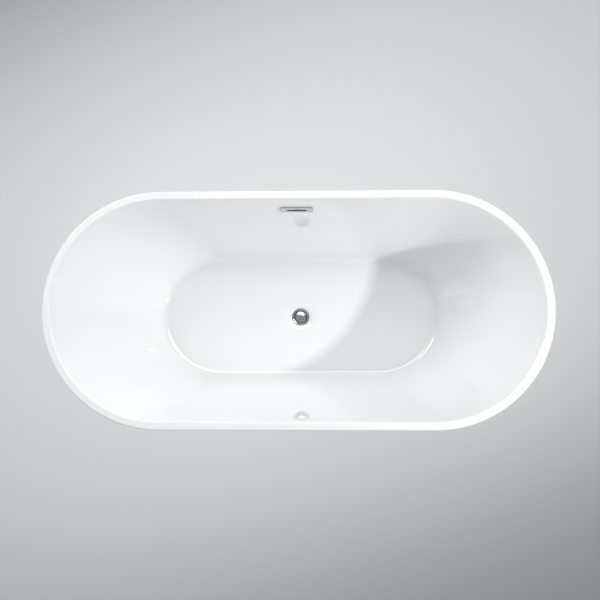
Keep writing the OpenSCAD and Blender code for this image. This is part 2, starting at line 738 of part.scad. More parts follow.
// A band clamp round +Z, with its screw housing.
band_t = 1;
band_w = 10;
module hose_clamp() {
    linear_extrude(band_w) difference() {
        circle(d = hose_d + 2 * band_t);
        circle(d = hose_d);
    }
    translate([hose_d / 2 + band_t - 0.4, -6, 0.5]) cube([5, 12, band_w - 1]);
}

module hose_clamp_top() color(zinc)
    translate([0, hose_corner_y, branch_z]) rotate([-side_lean, 0, 0])
        translate([0, 0, hose_tangent + hose_rise - band_w - 5]) hose_clamp();

module hose_clamp_bottom() color(zinc)
    translate([0, hose_start_y + 5, branch_z]) rotate([-90, 0, 0]) hose_clamp();

// ---- assembly ----
basin();
skirt();
rim_bond();
base_board();
rail(-1);  // rail_front
rail(1);  // rail_back
crossbar(-1);  // crossbar_left
crossbar(1);  // crossbar_right
brace(-1);  // brace_left
brace(1);  // brace_right
tube_caps();
frame_screws();
for (at = [1 : 4]) skirt_bracket(at);
bracket_screws();
bracket_bolts();
bracket_nuts();
for (at = [1 : 4]) foot_pad(at);
for (at = [1 : 4]) foot_stud(at);
weld_nuts();
lock_nuts();
drain_flange();
drain_seal_top();
drain_seal_bottom();
waste_tee();
tailpiece();
tailpiece_washer();
tailpiece_nut();
plug_cap();
plug_seal();
plug_stem();
plug_spring();
plug_sleeve();
overflow_plate();
overflow_seal();
overflow_gasket();
overflow_box();
overflow_nuts();
overflow_hose();
hose_clamp_top();
hose_clamp_bottom();
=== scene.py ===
# %% [markdown]
# # A freestanding bath
# A double-ended bath of white acrylic stands on the floor: a deep basin with leaning backrests, bonded by
# its rim into a curved skirt. A chromed waste sits in the middle of the floor and a slotted overflow high
# in the back wall. Under the basin hide a plywood board, a frame of square steel tube with four levelling
# feet, and the plumbing. A working model already gives every part its real size and place, so this script
# loads it first and never moves it. What follows only makes the parts look as they do in life.

# %% Load the working model
import math

import bmesh
import bpy
from mathutils import Matrix, Vector


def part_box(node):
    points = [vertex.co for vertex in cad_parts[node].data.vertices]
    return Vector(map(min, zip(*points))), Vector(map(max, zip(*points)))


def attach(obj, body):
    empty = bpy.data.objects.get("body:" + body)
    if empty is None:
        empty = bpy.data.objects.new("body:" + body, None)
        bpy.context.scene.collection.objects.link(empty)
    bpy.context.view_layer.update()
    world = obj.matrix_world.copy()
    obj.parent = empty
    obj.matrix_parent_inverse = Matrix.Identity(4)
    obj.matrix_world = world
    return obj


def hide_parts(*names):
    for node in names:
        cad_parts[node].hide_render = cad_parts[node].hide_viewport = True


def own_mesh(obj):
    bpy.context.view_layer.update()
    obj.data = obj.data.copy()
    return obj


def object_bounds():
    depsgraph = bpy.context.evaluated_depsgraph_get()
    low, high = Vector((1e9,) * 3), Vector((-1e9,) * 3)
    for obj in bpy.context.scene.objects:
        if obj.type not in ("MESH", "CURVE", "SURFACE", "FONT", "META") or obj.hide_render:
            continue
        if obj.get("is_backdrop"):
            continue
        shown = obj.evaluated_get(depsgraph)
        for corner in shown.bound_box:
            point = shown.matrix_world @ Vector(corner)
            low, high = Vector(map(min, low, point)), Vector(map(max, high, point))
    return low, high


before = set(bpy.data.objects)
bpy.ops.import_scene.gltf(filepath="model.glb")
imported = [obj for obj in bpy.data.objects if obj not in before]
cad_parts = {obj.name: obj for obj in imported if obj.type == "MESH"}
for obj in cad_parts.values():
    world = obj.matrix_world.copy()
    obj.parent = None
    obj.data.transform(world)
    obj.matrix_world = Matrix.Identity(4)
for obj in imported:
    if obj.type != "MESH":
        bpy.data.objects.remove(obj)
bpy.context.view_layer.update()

# %% [markdown]
# ## Camera
# The bath is seen from straight above, a little towards its right and from its front, through a normal
# lens. Looking almost straight down, a camera is easiest to aim by its own tilt: the first angle tips it
# towards the back of the bath, the second towards its right.

# %% Camera
def shown(name, data):
    """A new object in the scene, made round its data."""
    item = bpy.data.objects.new(name, data)
    bpy.context.scene.collection.objects.link(item)
    return item


camera_place = (0.1142, -0.1877, 3.3678)
camera_tilt = (4.47, 2.07, -0.03)  # degrees

camera = shown("camera", bpy.data.cameras.new("camera"))
camera.data.lens = 50.8
camera.data.sensor_width = 36
camera.location = camera_place
camera.rotation_euler = [math.radians(angle) for angle in camera_tilt]
bpy.context.scene.camera = camera

# %% [markdown]
# ## Nodes by arithmetic
# Materials and Geometry Nodes are both trees of nodes. Wiring them by hand is long and hard to read, so a
# small class wraps a socket and lets Python's own operators add the Math nodes: `0.2 + 0.1 * grain` reads
# as what it does. Every other node comes from one method, which takes its type, what goes into its sockets
# and its settings.

# %% Nodes by arithmetic
def operation(kind, swapped=False):
    """A Python operator that adds a Math node. Swapped is its reflected form, as in 1 - mask."""

    def act(value, other):
        return value.graph.math(kind, *((other, value) if swapped else (value, other)))

    return act


class Value:
    """An output socket that takes part in Python arithmetic."""

    __add__ = __radd__ = operation("ADD")
    __mul__ = __rmul__ = operation("MULTIPLY")
    __sub__ = operation("SUBTRACT")
    __rsub__ = operation("SUBTRACT", swapped=True)
    __truediv__ = operation("DIVIDE")
    __gt__ = operation("GREATER_THAN")
    __lt__ = operation("LESS_THAN")

    def __init__(self, graph, socket):
        self.graph = graph
        self.socket = socket

    def out(self, name):
        """Another output of the same node."""
        return Value(self.graph, self.socket.node.outputs[name])


class Graph:
    """A node tree that is built by calls."""

    def __init__(self, tree):
        self.tree = tree

    def add(self, kind, inputs=None, settings=None, output=0):
        """One node, with a value or a link for each socket, and its settings. Returns one output."""
        node = self.tree.nodes.new(kind)
        for name, value in (settings or {}).items():
            setattr(node, name, value)
        for key, value in (inputs or {}).items():
            if isinstance(value, Value):
                self.tree.links.new(value.socket, node.inputs[key])
            else:
                node.inputs[key].default_value = value
        return Value(self, node.outputs[output]) if len(node.outputs) else node

    def math(self, kind, *values):
        return self.add("ShaderNodeMath", dict(enumerate(values)), {"operation": kind})

    def limited(self, value):
        """The value, kept between 0 and 1."""
        return self.math("MINIMUM", self.math("MAXIMUM", value, 0.0), 1.0)


print("node helpers ready")

# %% [markdown]
# ## Finishes
# A finish is a Principled shader with a little life in it. What is the same all over is set on the shader
# itself. What changes over the surface, such as the slow ripple of a formed sheet or the grain of a moulded
# plastic, is worked out from the point's place on the object and feeds colour, roughness and bump.

# %% Finish helper
class Finish(Graph):
    """A material's tree, with its shader, and the place of a point on the object, ready to use."""

    def __init__(self, name, **constants):
        self.material = bpy.data.materials.new(name)
        self.material.use_nodes = True
        super().__init__(self.material.node_tree)
        self.shader = self.tree.nodes["Principled BSDF"]
        for socket, value in constants.items():
            self.shader.inputs[socket.replace("_", " ")].default_value = value
        self.place = self.add("ShaderNodeTexCoord", output="Object")

    def noise(self, scale, detail=2.0, place=None):
        inputs = {"Vector": place or self.place, "Scale": scale, "Detail": detail}
        return self.add("ShaderNodeTexNoise", inputs)

    def stretched(self, scale):
        """The point's place, stretched by a scale along each axis."""
        return self.add("ShaderNodeMapping", {"Vector": self.place, "Scale": scale})

    def between(self, share, low, high):
        """A colour between two."""
        return self.mixed(share, (*low, 1), (*high, 1))

    def mixed(self, share, low, high):
        """As between, for colours that are values already."""
        return self.add("ShaderNodeMix", {0: share, 6: low, 7: high}, {"data_type": "RGBA"}, output=2)

    def feed(self, **values):
        for socket, value in values.items():
            self.tree.links.new(value.socket, self.shader.inputs[socket.replace("_", " ")])

    def bump(self, *layers):
        """Each layer is a height from 0 to 1 and the relief in metres that it stands for."""
        normal = None
        for height, relief in layers:
            inputs = {"Height": height, "Strength": 1.0, "Distance": relief}
            if normal:
                inputs["Normal"] = normal
            normal = self.add("ShaderNodeBump", inputs)
        self.feed(Normal=normal)


# %% White acrylic and the glass fibre behind it
def white_acrylic():
    """Cast sheet, formed hot: hard gloss, a slow ripple and the faintest orange peel."""
    f = Finish("white_acrylic", IOR=1.49, Coat_Roughness=0.015, Coat_IOR=1.5)
    ripple = f.noise(5.0, 1.0)
    peel = f.noise(260.0, 2.0)
    f.feed(
        Base_Color=f.between(ripple, (0.86, 0.865, 0.875), (0.89, 0.89, 0.89)),
        Roughness=0.02 + 0.04 * f.noise(30.0, 3.0),
        Coat_Weight=0.85 + 0.15 * ripple,
    )
    f.bump((ripple, 0.0001), (peel, 0.000001))
    return f.material


def glass_fibre():
    """Chopped strands in resin, sprayed on the back of the sheet and rolled down."""
    f = Finish("glass_fibre", IOR=1.52)
    strands = [f.noise(1.0, 3.0, f.stretched(s)) for s in ((420, 60, 60), (60, 420, 90), (90, 60, 420))]
    weave = (strands[0] + strands[1] + strands[2]) / 3
    lumps = f.noise(18.0, 3.0)
    f.feed(
        Base_Color=f.between(weave, (0.50, 0.49, 0.42), (0.80, 0.79, 0.73)),
        Roughness=0.35 + 0.3 * weave,
    )
    f.bump((lumps, 0.0012), (weave, 0.0008))
    return f.material


# %% Metals
def chrome():
    """Plated and polished, with a breath of haze."""
    f = Finish("chrome", Metallic=1.0)
    haze = f.noise(90.0, 3.0)
    f.feed(
        Base_Color=f.between(haze, (0.54, 0.55, 0.565), (0.61, 0.62, 0.64)),
        Roughness=0.05 + 0.06 * haze,
    )
    f.bump((f.noise(35.0, 1.0), 0.00001))
    return f.material


def zinc():
    """Bright zinc plate with its crystal patches."""
    f = Finish("zinc", Metallic=1.0)
    patches = f.add("ShaderNodeTexVoronoi", {"Vector": f.place, "Scale": 160.0}, output="Color")
    tone = f.add("ShaderNodeSeparateColor", {"Color": patches})
    f.feed(
        Base_Color=f.between(tone, (0.48, 0.49, 0.50), (0.66, 0.67, 0.66)),
        Roughness=0.24 + 0.18 * f.noise(120.0, 3.0),
    )
    f.bump((f.noise(700.0, 2.0), 0.000015))
    return f.material


def powder_coat():
    """Baked powder paint: satin, with a fine pebble."""
    f = Finish("powder_coat", IOR=1.5)
    pebble = f.noise(900.0, 2.0)
    f.feed(
        Base_Color=f.between(f.noise(12.0, 3.0), (0.035, 0.037, 0.040), (0.055, 0.058, 0.062)),
        Roughness=0.38 + 0.2 * pebble,
    )
    f.bump((pebble, 0.00006))
    return f.material


# %% Plastics, rubber, adhesive and plywood
def moulded(name, low, high, roughness, grain):
    """Any moulded or cured stuff: two near tones, a fine grain and an uneven sheen."""
    f = Finish(name, IOR=1.5)
    fine = f.noise(grain, 3.0)
    f.feed(Base_Color=f.between(f.noise(25.0, 3.0), low, high), Roughness=roughness + 0.15 * fine)
    f.bump((fine, 0.00004))
    return f.material


def birch_plywood(low, high, plies=11):
    """Long grain on the faces; on the edges the plies run light and dark in turn."""
    f = Finish("birch_plywood", IOR=1.5)
    wobble = f.noise(3.0, 3.0)
    grain = f.noise(1.0, 4.0, f.stretched((7.0, 150.0, 150.0)))
    face = f.between(grain * 0.8 + wobble * 0.2, (0.42, 0.27, 0.14), (0.74, 0.56, 0.35))
    height = f.add("ShaderNodeSeparateXYZ", {0: f.place}, output="Z")
    turn = (height - low) * (math.pi * plies / (high - low))
    stripe = (f.math("SINE", turn) > 0) * 0.8 + grain * 0.2
    edge = f.between(stripe, (0.30, 0.18, 0.09), (0.66, 0.49, 0.30))
    normal = f.add("ShaderNodeNewGeometry", output="Normal")
    upright = f.math("ABSOLUTE", f.add("ShaderNodeSeparateXYZ", {0: normal}, output="Z"))
    on_face = upright > 0.5
    f.feed(Base_Color=f.mixed(on_face, edge, face), Roughness=0.45 + 0.2 * grain)
    f.bump((grain, 0.0001))
    return f.material


board_low, board_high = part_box("base_board")
finishes = {
    "acrylic": white_acrylic(),
    "glass_fibre": glass_fibre(),
    "chrome": chrome(),
    "zinc": zinc(),
    "painted_steel": powder_coat(),
    "plywood": birch_plywood(board_low.z, board_high.z),
    "rubber": moulded("rubber", (0.012, 0.012, 0.013), (0.028, 0.028, 0.03), 0.55, 500.0),
    "white_plastic": moulded("white_plastic", (0.74, 0.74, 0.72), (0.80, 0.80, 0.78), 0.28, 350.0),
    "black_plastic": moulded("black_plastic", (0.014, 0.014, 0.015), (0.024, 0.024, 0.026), 0.35, 600.0),
    "adhesive": moulded("adhesive", (0.58, 0.57, 0.49), (0.68, 0.67, 0.60), 0.5, 90.0),
}
print(len(finishes), "finishes:", ", ".join(finishes))

# %% [markdown]
# ## Geometry Nodes, from tree to plain mesh
# Most of the bath follows rules: a profile swept round an outline, a thread wound round a rod, a fastener
# set down at many places. Each rule is one node tree with named inputs. A tree is run as a modifier on a
# passing object, and what it makes is kept as a plain mesh. Every mesh ends with its faces outwards and
# its object at the origin, as the working model's parts are.

# %% Trees
def new_tree(name, **inputs):
    """An empty Geometry Nodes tree. Inputs are the names and socket types of what can be set."""
    tree = bpy.data.node_groups.new(name, "GeometryNodeTree")
    for side in ("INPUT", "OUTPUT"):
        tree.interface.new_socket("Geometry", in_out=side, socket_type="NodeSocketGeometry")
    for label, kind in inputs.items():
        tree.interface.new_socket(label, in_out="INPUT", socket_type="NodeSocket" + kind)
    graph = Graph(tree)
    first = graph.add("NodeGroupInput")
    return graph, {label: first.out(label) for label in ("Geometry", *inputs)}


def unit_grid(graph, columns, rows):
    """A grid of steps, with how far along it each point is, from 0 to 1, and its row from 0."""
    sizes = {"Size X": 1.0, "Size Y": 1.0, "Vertices X": columns + 1.0, "Vertices Y": rows}
    grid = graph.add("GeometryNodeMeshGrid", sizes)
    across = graph.add("ShaderNodeSeparateXYZ", {0: graph.add("GeometryNodeInputPosition")})
    return grid, graph.math("FRACT", across + 0.5), (across.out("Y") + 0.5) * (rows - 1.0)


def round_axis(graph, radius, turn, height, centre=0.0):
    """The place at a radius, turn and height round Z, or round a line beside it at X = centre."""
    x, y = (radius * graph.math(kind, turn) for kind in ("COSINE", "SINE"))
    return graph.add("ShaderNodeCombineXYZ", {"X": x + centre, "Y": y, "Z": height})


def end_tree(graph, given, geometry):
    """Real geometry, smooth, with the given material, goes to the output. Returns the finished tree."""
    geometry = graph.add("GeometryNodeRealizeInstances", {0: geometry})
    geometry = graph.add("GeometryNodeSetShadeSmooth", {0: geometry})
    geometry = graph.add("GeometryNodeSetMaterial", {0: geometry, "Material": given["Material"]})
    graph.add("NodeGroupOutput", {0: geometry})
    return graph


print("trees: a start and an end")

# %% From tree to mesh
def plain(name, source):
    """What a passing object looks like with its modifiers, as a new plain mesh object."""
    bpy.context.view_layer.update()
    evaluated = source.evaluated_get(bpy.context.evaluated_depsgraph_get())
    mesh = bpy.data.meshes.new_from_object(evaluated)
    bpy.data.objects.remove(source)
    return shown(name, mesh)


def outwards(piece, sharp=40):
    """Turns a closed mesh right side out, and marks its sharp edges."""
    shape = bmesh.new()
    shape.from_mesh(piece.data)
    bmesh.ops.remove_doubles(shape, verts=shape.verts, dist=1e-6)
    if shape.calc_volume(signed=True) < 0:
        bmesh.ops.reverse_faces(shape, faces=shape.faces)
    for face in shape.faces:
        face.smooth = True
    shape.to_mesh(piece.data)
    shape.free()
    piece.data.set_sharp_from_angle(angle=math.radians(sharp))
    return piece


def grow(name, graph, mesh, wall=0.0, sharp=40, **values):
    """Runs a tree on a mesh and keeps what it makes, as a skin with a wall inwards if one is given."""
    source = shown("passing", mesh)
    modifier = source.modifiers.new("rule", "NODES")
    modifier.node_group = graph.tree
    for socket in graph.tree.interface.items_tree:
        if socket.in_out == "INPUT" and socket.name in values:
            modifier[socket.identifier] = values[socket.name]
    if wall:
        inwards = source.modifiers.new("wall", "SOLIDIFY")
        inwards.thickness = wall
        inwards.offset = -1
    return outwards(plain(name, source), sharp)


print("trees run on passing objects")

# %% Placing, cutting and handing over
def moved(piece, matrix):
    """Puts a piece in its place, in its mesh."""
    piece.data.transform(matrix)
    if matrix.determinant() < 0:
        piece.data.flip_normals()
    return piece


def shift(x=0.0, y=0.0, z=0.0):
    return Matrix.Translation((x, y, z))


def spin(degrees, axis="Z"):
    return Matrix.Rotation(math.radians(degrees), 4, axis)


def combine(piece, tool, how="DIFFERENCE"):
    """Cuts a tool out of a piece, or joins it on, and uses the tool up."""
    modifier = piece.modifiers.new("cut", "BOOLEAN")
    modifier.operation = how
    modifier.solver = "EXACT"
    modifier.object = tool
    name = piece.name
    result = plain("result", piece)
    result.name = name
    bpy.data.objects.remove(tool)
    return outwards(result)


def paint(part, finish):
    """One finish all over."""
    part.data.materials.clear()
    part.data.materials.append(finishes[finish])


def fit(piece, slot, *replaced, body="root"):
    """The piece stands for its nodes and moves with their body. The slot is not used."""
    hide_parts(*replaced)
    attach(piece, body)
    print(f"{piece.name}: {len(piece.data.vertices)} points, rides on {body}")


print("placing and cutting ready")

# %% [markdown]
# ## The ring loft
# Basin and skirt have one outline at every height: two straight sides and two round ends. Only its half
# length, half width and height change from ring to ring. So a profile is a list of such rings, kept as
# the points of a small mesh, and one tree wraps a grid round it: along the grid it walks the outline, and
# across the grid it takes one ring after the other. A ring whose two half sizes are equal is a circle, so
# the same tree turns flanges, caps and pads as a lathe would. Rows from a given number on get a second
# material, which is how one basin has gloss in front and glass fibre behind.

# %% The ring loft tree
def ring_loft():
    graph, given = new_tree(
        "ring_loft", Round="Int", Straight="Int", Front_rows="Int", Front="Material", Back="Material"
    )
    rows = graph.add("GeometryNodeAttributeDomainSize", {"Geometry": given["Geometry"]})
    grid, along, row = unit_grid(graph, (given["Round"] + given["Straight"]) * 2.0, rows)
    spot = graph.add("GeometryNodeInputPosition")
    taken = graph.add("GeometryNodeSampleIndex", {
        "Geometry": given["Geometry"], "Value": spot, "Index": graph.math("ROUND", row),
    }, {"data_type": "FLOAT_VECTOR"})
    length = graph.add("ShaderNodeSeparateXYZ", {0: taken})
    width, height = length.out("Y"), length.out("Z")

    # each half of the outline is first a round end, then a straight side back to the other end
    half = graph.math("FLOOR", along * 2.0)
    walked = along * 2.0 - half
    round_share = given["Round"] / (given["Round"] + given["Straight"])
    turn = (graph.math("MINIMUM", walked / round_share, 1.0) + half - 0.5) * math.pi
    on_side = graph.math("MAXIMUM", walked - round_share, 0.0) / (1.0 - round_share)
    centre = (1.0 - 2.0 * half) * (1.0 - 2.0 * on_side) * (length - width)
    place = round_axis(graph, width, turn, height, centre)

    kept = graph.tree.nodes.new("GeometryNodeCaptureAttribute")
    kept.domain = "FACE"
    kept.capture_items.new("FLOAT", "Row")
    graph.tree.links.new(grid.socket, kept.inputs["Geometry"])
    graph.tree.links.new(row.socket, kept.inputs["Row"])
    shaped = graph.add("GeometryNodeSetPosition", {
        "Geometry": Value(graph, kept.outputs["Geometry"]), "Position": place,
    })
    joined = graph.add("GeometryNodeMergeByDistance", {"Geometry": shaped, "Distance": 1e-6})
    painted = graph.add("GeometryNodeSetMaterial", {0: joined, "Material": given["Front"]})
    behind = Value(graph, kept.outputs["Row"]) > given["Front_rows"]
    painted = graph.add("GeometryNodeSetShadeSmooth", {0: painted})
    painted = graph.add("GeometryNodeRealizeInstances", {0: painted})
    final = {0: painted, "Selection": behind, "Material": given["Back"]}
    graph.add("NodeGroupOutput", {0: graph.add("GeometryNodeSetMaterial", final)})
    return graph


lofting = ring_loft()


def loft(name, rings, front, back=None, front_rows=10 ** 6, round_steps=72, straight_steps=1):
    """A skin through rings of (half length, half width, height)."""
    profile = bpy.data.meshes.new("profile")
    profile.from_pydata(rings, [], [])
    return grow(
        name, lofting, profile, Round=round_steps, Straight=straight_steps, Front_rows=front_rows,
        Front=finishes[front], Back=finishes[back or front],
    )


print("ring loft:", len(lofting.tree.nodes), "nodes")

# %% [markdown]
# ## Rounded corners
# No made edge is perfectly sharp: a moulding has a radius and a metal edge is broken. Even half a
# millimetre matters, because that thin round catches the light as a bright line. Profiles are therefore
# written as corners with a radius each. Close beside each arc goes one more point on the flat, so that the
# flat stays flat when the shading is smoothed across it.

# %% Rounded corners
def rounded(corners, closed, steps):
    """Points (x, y) along corners given as (x, y, radius)."""
    points = []
    for i, (x, y, radius) in enumerate(corners):
        here = Vector((x, y))
        if radius == 0:
            points.append(here)
            continue
        legs = [Vector(corners[j % len(corners)][:2]) - here for j in (i - 1, i + 1)]
        sides = [leg.normalized() for leg in legs]
        half = sides[0].angle(sides[1]) / 2
        back = min(radius / math.tan(half), *(0.45 * leg.length for leg in legs))
        centre = here + (sides[0] + sides[1]).normalized() * (back / math.cos(half))
        start, end = (here + side * back - centre for side in sides)
        arc = start.length
        start, end = start.normalized(), end.normalized()
        near = [here + side * min(1.15 * back, 0.49 * leg.length) for side, leg in zip(sides, legs)]
        points.append(near[0])
        points += [centre + start.slerp(end, k / steps) * arc for k in range(steps + 1)]
        points.append(near[1])
    return points + points[:1] if closed else points


def turned(name, corners, finish, sides=64, steps=4):
    """A piece turned on a lathe, round +Z, from corners of (radius, height, rounding).

    A profile that starts on the axis also ends there. Any other one is closed into a ring."""
    rings = [(p.x, p.x, p.y) for p in rounded(corners, corners[0][0] > 0, steps)]
    return loft(name, rings, finish, round_steps=sides // 2)


def soften(finish, width, least, *nodes, steps=3):
    """Fits copies of parts of the working model whose longer sharp edges are rounded."""
    for node in nodes:
        piece = shown(node + "_eased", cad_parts[node].data.copy())
        shape = bmesh.new()
        shape.from_mesh(piece.data)
        bmesh.ops.remove_doubles(shape, verts=shape.verts, dist=1e-6)
        bmesh.ops.dissolve_limit(shape, angle_limit=math.radians(1), verts=shape.verts, edges=shape.edges)
        edges = [
            e for e in shape.edges
            if e.is_manifold and e.calc_face_angle() > math.radians(30) and e.calc_length() > least
        ]
        bmesh.ops.bevel(shape, geom=edges, offset=width, segments=steps, profile=0.5, affect="EDGES")
        bmesh.ops.triangulate(shape, faces=[f for f in shape.faces if len(f.verts) > 4])
        shape.to_mesh(piece.data)
        shape.free()
        paint(piece, finish)
        outwards(piece, sharp=30)
        even = piece.modifiers.new("even", "WEIGHTED_NORMAL")
        even.keep_sharp = True
        fit(plain(node + "_eased", piece), finish, node)


running = 0.00005  # the space round a part that slides or turns
through = 0.001  # how far a cutter goes past the face that it opens
print("corner helpers ready")

# %% [markdown]
# ## The basin
# The real basin is one sheet of acrylic, heated and drawn into a mould, then stiffened behind with glass
# fibre. Its inner wall leans out in straight lines to the rim, the backrests a little hollow, and it meets
# the floor in a cove. The rim is flat and narrow, with a short lip turned down outside. All of it is one
# closed profile for the ring loft: up the waste hole, over the floor, up the wall, across the rim, down the
# lip and back down behind.

# %% Basin sizes
rim_width = 0.027
rim_thickness = 0.007
rim_edge = 0.004
rim_round = 0.004
lip_height = 0.018
lip_thickness = 0.005
wall_thickness = 0.007
floor_height = 0.142
floor_fall = 0.005
floor_thickness = 0.010
cove_height = 0.016
backrest_lean = math.radians(34.8)
side_lean = math.radians(18.9)
backrest_hollow = 0.008

rim_a, rim_b, rim_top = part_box("basin")[1]
well_a, well_b = rim_a - rim_width, rim_b - rim_width
well_depth = rim_top - floor_height
floor_a = well_a - well_depth * math.tan(backrest_lean)
floor_b = well_b - well_depth * math.tan(side_lean)
floor_under = floor_height - floor_fall - floor_thickness
print("well:", round(2 * floor_a, 3), "by", round(2 * floor_b, 3), "m at the floor")

# %% Walls and coves
def wall_at(z, out=0.0):
    """Half length and half width of the inner wall at a height, moved out by a thickness."""
    f = (z - floor_height) / well_depth
    hollow = backrest_hollow * 4 * max(f, 0) * (1 - f)
    return (
        floor_a + (well_a - floor_a) * f + hollow + out / math.cos(backrest_lean),
        floor_b + (well_b - floor_b) * f + out / math.cos(side_lean),
    )


def arc_back(height, lean, k):
    """How far an arc between a level plane and a leaning wall is from the wall's line, k off the plane."""
    radius = height / (1 - math.sin(lean))
    return radius * math.cos(lean) - math.sqrt(radius ** 2 - (radius - k) ** 2)


def quarter(radius, steps):
    """Points of a quarter round: how far each lies in from the side, and how far along it."""
    turns = [math.pi / 2 * i / steps for i in range(steps + 1)]
    return [(radius * (1 - math.sin(turn)), radius * (1 - math.cos(turn))) for turn in turns]


def curve_rings(level, height, out, side, steps):
    """Rings of an arc from a level plane to the wall: above the plane for side 1, below it for -1."""
    rings = []
    for i in range(steps + 1):
        k = height * (i / steps) ** 2
        a, b = wall_at(level + side * height, out)
        back_a, back_b = (arc_back(height, lean, k) for lean in (backrest_lean, side_lean))
        rings.append((a - side * back_a, b - side * back_b, level + side * k))
    return rings


def wall_rings(low, high, out, steps):
    heights = [low + (high - low) * i / steps for i in range(steps + 1)]
    return [(*wall_at(z, out), z) for z in heights]


print("rim of the well:", [round(half, 4) for half in wall_at(rim_top)])

# %% Basin rings
flange_low, flange_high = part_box("drain_flange")
waste_hole_r = 0.0244
recess_r = flange_high.x + 0.0005
recess_z = 0.132
floor_low = floor_height - floor_fall

cove = curve_rings(floor_height, cove_height, 0, 1, 14)
edge_a, edge_b, _ = cove[0]
bore = [(radius, radius, z) for radius, z in (
    (waste_hole_r, floor_under), (waste_hole_r, recess_z), (recess_r, recess_z),
    (recess_r, floor_low - 0.0006), (recess_r + 0.0002, floor_low - 0.0002), (recess_r + 0.0006, floor_low),
)]
floor_rings = []
floor_steps = 12
for i in range(1, floor_steps):
    share = i / floor_steps
    rise = max(0.0, (share - 0.1) / 0.9) ** 1.3
    floor_rings.append((
        recess_r + (edge_a - recess_r) * share, recess_r + (edge_b - recess_r) * share,
        floor_low + floor_fall * rise,
    ))
wall = wall_rings(floor_height + cove_height, rim_top - rim_round, 0, 30)[1:-1]
rim_turn = curve_rings(rim_top, rim_round, 0, -1, 6)[::-1]
rim_flat = [(well_a + 0.006, well_b + 0.006, rim_top), (rim_a - 0.006, rim_b - 0.006, rim_top)]
rim_outer = [(rim_a - back, rim_b - back, rim_top - drop) for back, drop in quarter(rim_edge, 8)]
lip_z = rim_top - lip_height
lip = [
    (rim_a, rim_b, lip_z + 0.001), (rim_a - 0.0003, rim_b - 0.0003, lip_z + 0.0003),
    (rim_a - 0.001, rim_b - 0.001, lip_z),
]
lip_in_a, lip_in_b = rim_a - lip_thickness, rim_b - lip_thickness
front = bore + floor_rings + cove + wall + rim_turn + rim_flat + rim_outer + lip
behind = [(lip_in_a, lip_in_b, lip_z), (lip_in_a, lip_in_b, rim_top - rim_thickness)]
under_cove = cove_height + wall_thickness / 2
behind += wall_rings(rim_top - rim_thickness, floor_under + under_cove, wall_thickness, 20)
behind += curve_rings(floor_under, under_cove, wall_thickness, 1, 8)[-2::-1]
basin = loft(
    "basin_shell", [*front, *behind, front[0]], "acrylic", "glass_fibre",
    front_rows=len(front), round_steps=80, straight_steps=50,
)
print("basin:", len(front) + len(behind), "rings,", len(basin.data.polygons), "faces")

# %% [markdown]
# ## The overflow opening
# A slotted hole high in the back wall lets water out before it reaches the rim, and two small holes beside
# it take the plate's studs. They are cut square to the wall, so this wall gets a frame of its own: X along
# the bath, Y up the wall and Z out towards the bather. A flat outline with rounded corners, thick and with
# a fine bevel, is what a 2-D curve gives for little work: it fills its outline, leaves its holes open, and
# bevels every edge evenly.

# %% Flat outlines
quadrants = ((1, 1), (-1, 1), (-1, -1), (1, -1))


def box_outline(width, height, radius, steps=6):
    """Points of a rectangle with round corners."""
    points = []
    for turn, (x, y) in enumerate(quadrants):
        for i in range(steps + 1):
            angle = math.pi / 2 * (turn + i / steps)
            points.append((
                x * (width / 2 - radius) + radius * math.cos(angle),
                y * (height / 2 - radius) + radius * math.sin(angle),
            ))
    return points


def circle_outline(radius, sides=32, x=0.0, y=0.0):
    angles = [2 * math.pi * i / sides for i in range(sides)]
    return [(x + radius * math.cos(t), y + radius * math.sin(t)) for t in angles]


def slab(name, outlines, low, high, finish, edge=0.0):
    """A flat plate from its outer outline and its holes, between two heights, with bevelled edges."""
    curve = bpy.data.curves.new(name, "CURVE")
    curve.dimensions = "2D"
    curve.fill_mode = "BOTH"
    curve.extrude = (high - low) / 2 - edge
    curve.bevel_depth = edge
    curve.bevel_resolution = 2
    curve.offset = -edge
    for outline in outlines:
        spline = curve.splines.new("POLY")
        spline.points.add(len(outline) - 1)
        for point, (x, y) in zip(spline.points, outline):
            point.co = (x, y, 0, 1)
        spline.use_cyclic_u = True
    curve.materials.append(finishes[finish])
    piece = moved(plain(name, shown("passing", curve)), shift(z=(low + high) / 2))
    return outwards(piece, sharp=30)


print("flat outlines ready")

# %% Opening in the back wall
plate_drop = 0.068  # from the rim down to the plate's middle
plate_z = rim_top - plate_drop
plate_y = wall_at(plate_z)[1]
on_wall = shift(0, plate_y, plate_z) @ Matrix.Rotation(math.pi / 2 - side_lean, 4, "X")
slot_width, slot_height = 0.066, 0.009
stud_x = 0.047
stud_r = 0.0025
opening = box_outline(slot_width + 0.006, slot_height + 0.007, 0.003)
stud_holes = [circle_outline(stud_r + 0.0005, x=side * stud_x) for side in (-1, 1)]

for cutter in (opening, *stud_holes):
    basin = combine(basin, moved(slab("cutter", [cutter], -0.012, 0.004, "acrylic"), on_wall))
fit(basin, "acrylic", "basin")

# %% [markdown]
# ## The skirt
# The skirt is a second sheet, drawn round the outside. It stands in under the rim and curves in towards the
# floor, where a flange turned inwards takes the bolts of the frame's brackets. The curve is the steady
# power of the height that shipwrights and potters use: nearly upright at the top, quicker towards the foot.

# %% Skirt outline
skirt_inset_l, skirt_inset_w = 0.125, 0.097
skirt_thickness = 0.005
skirt_power = 1.8
toe_width, toe_thickness = 0.030, 0.006
foot_edge = 0.003
bolt_r = 0.003

skirt_low, skirt_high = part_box("skirt")
toe_z, skirt_top = skirt_low.z, skirt_high.z
head_room_l, head_room_w = rim_a - skirt_high.x, rim_b - skirt_high.y


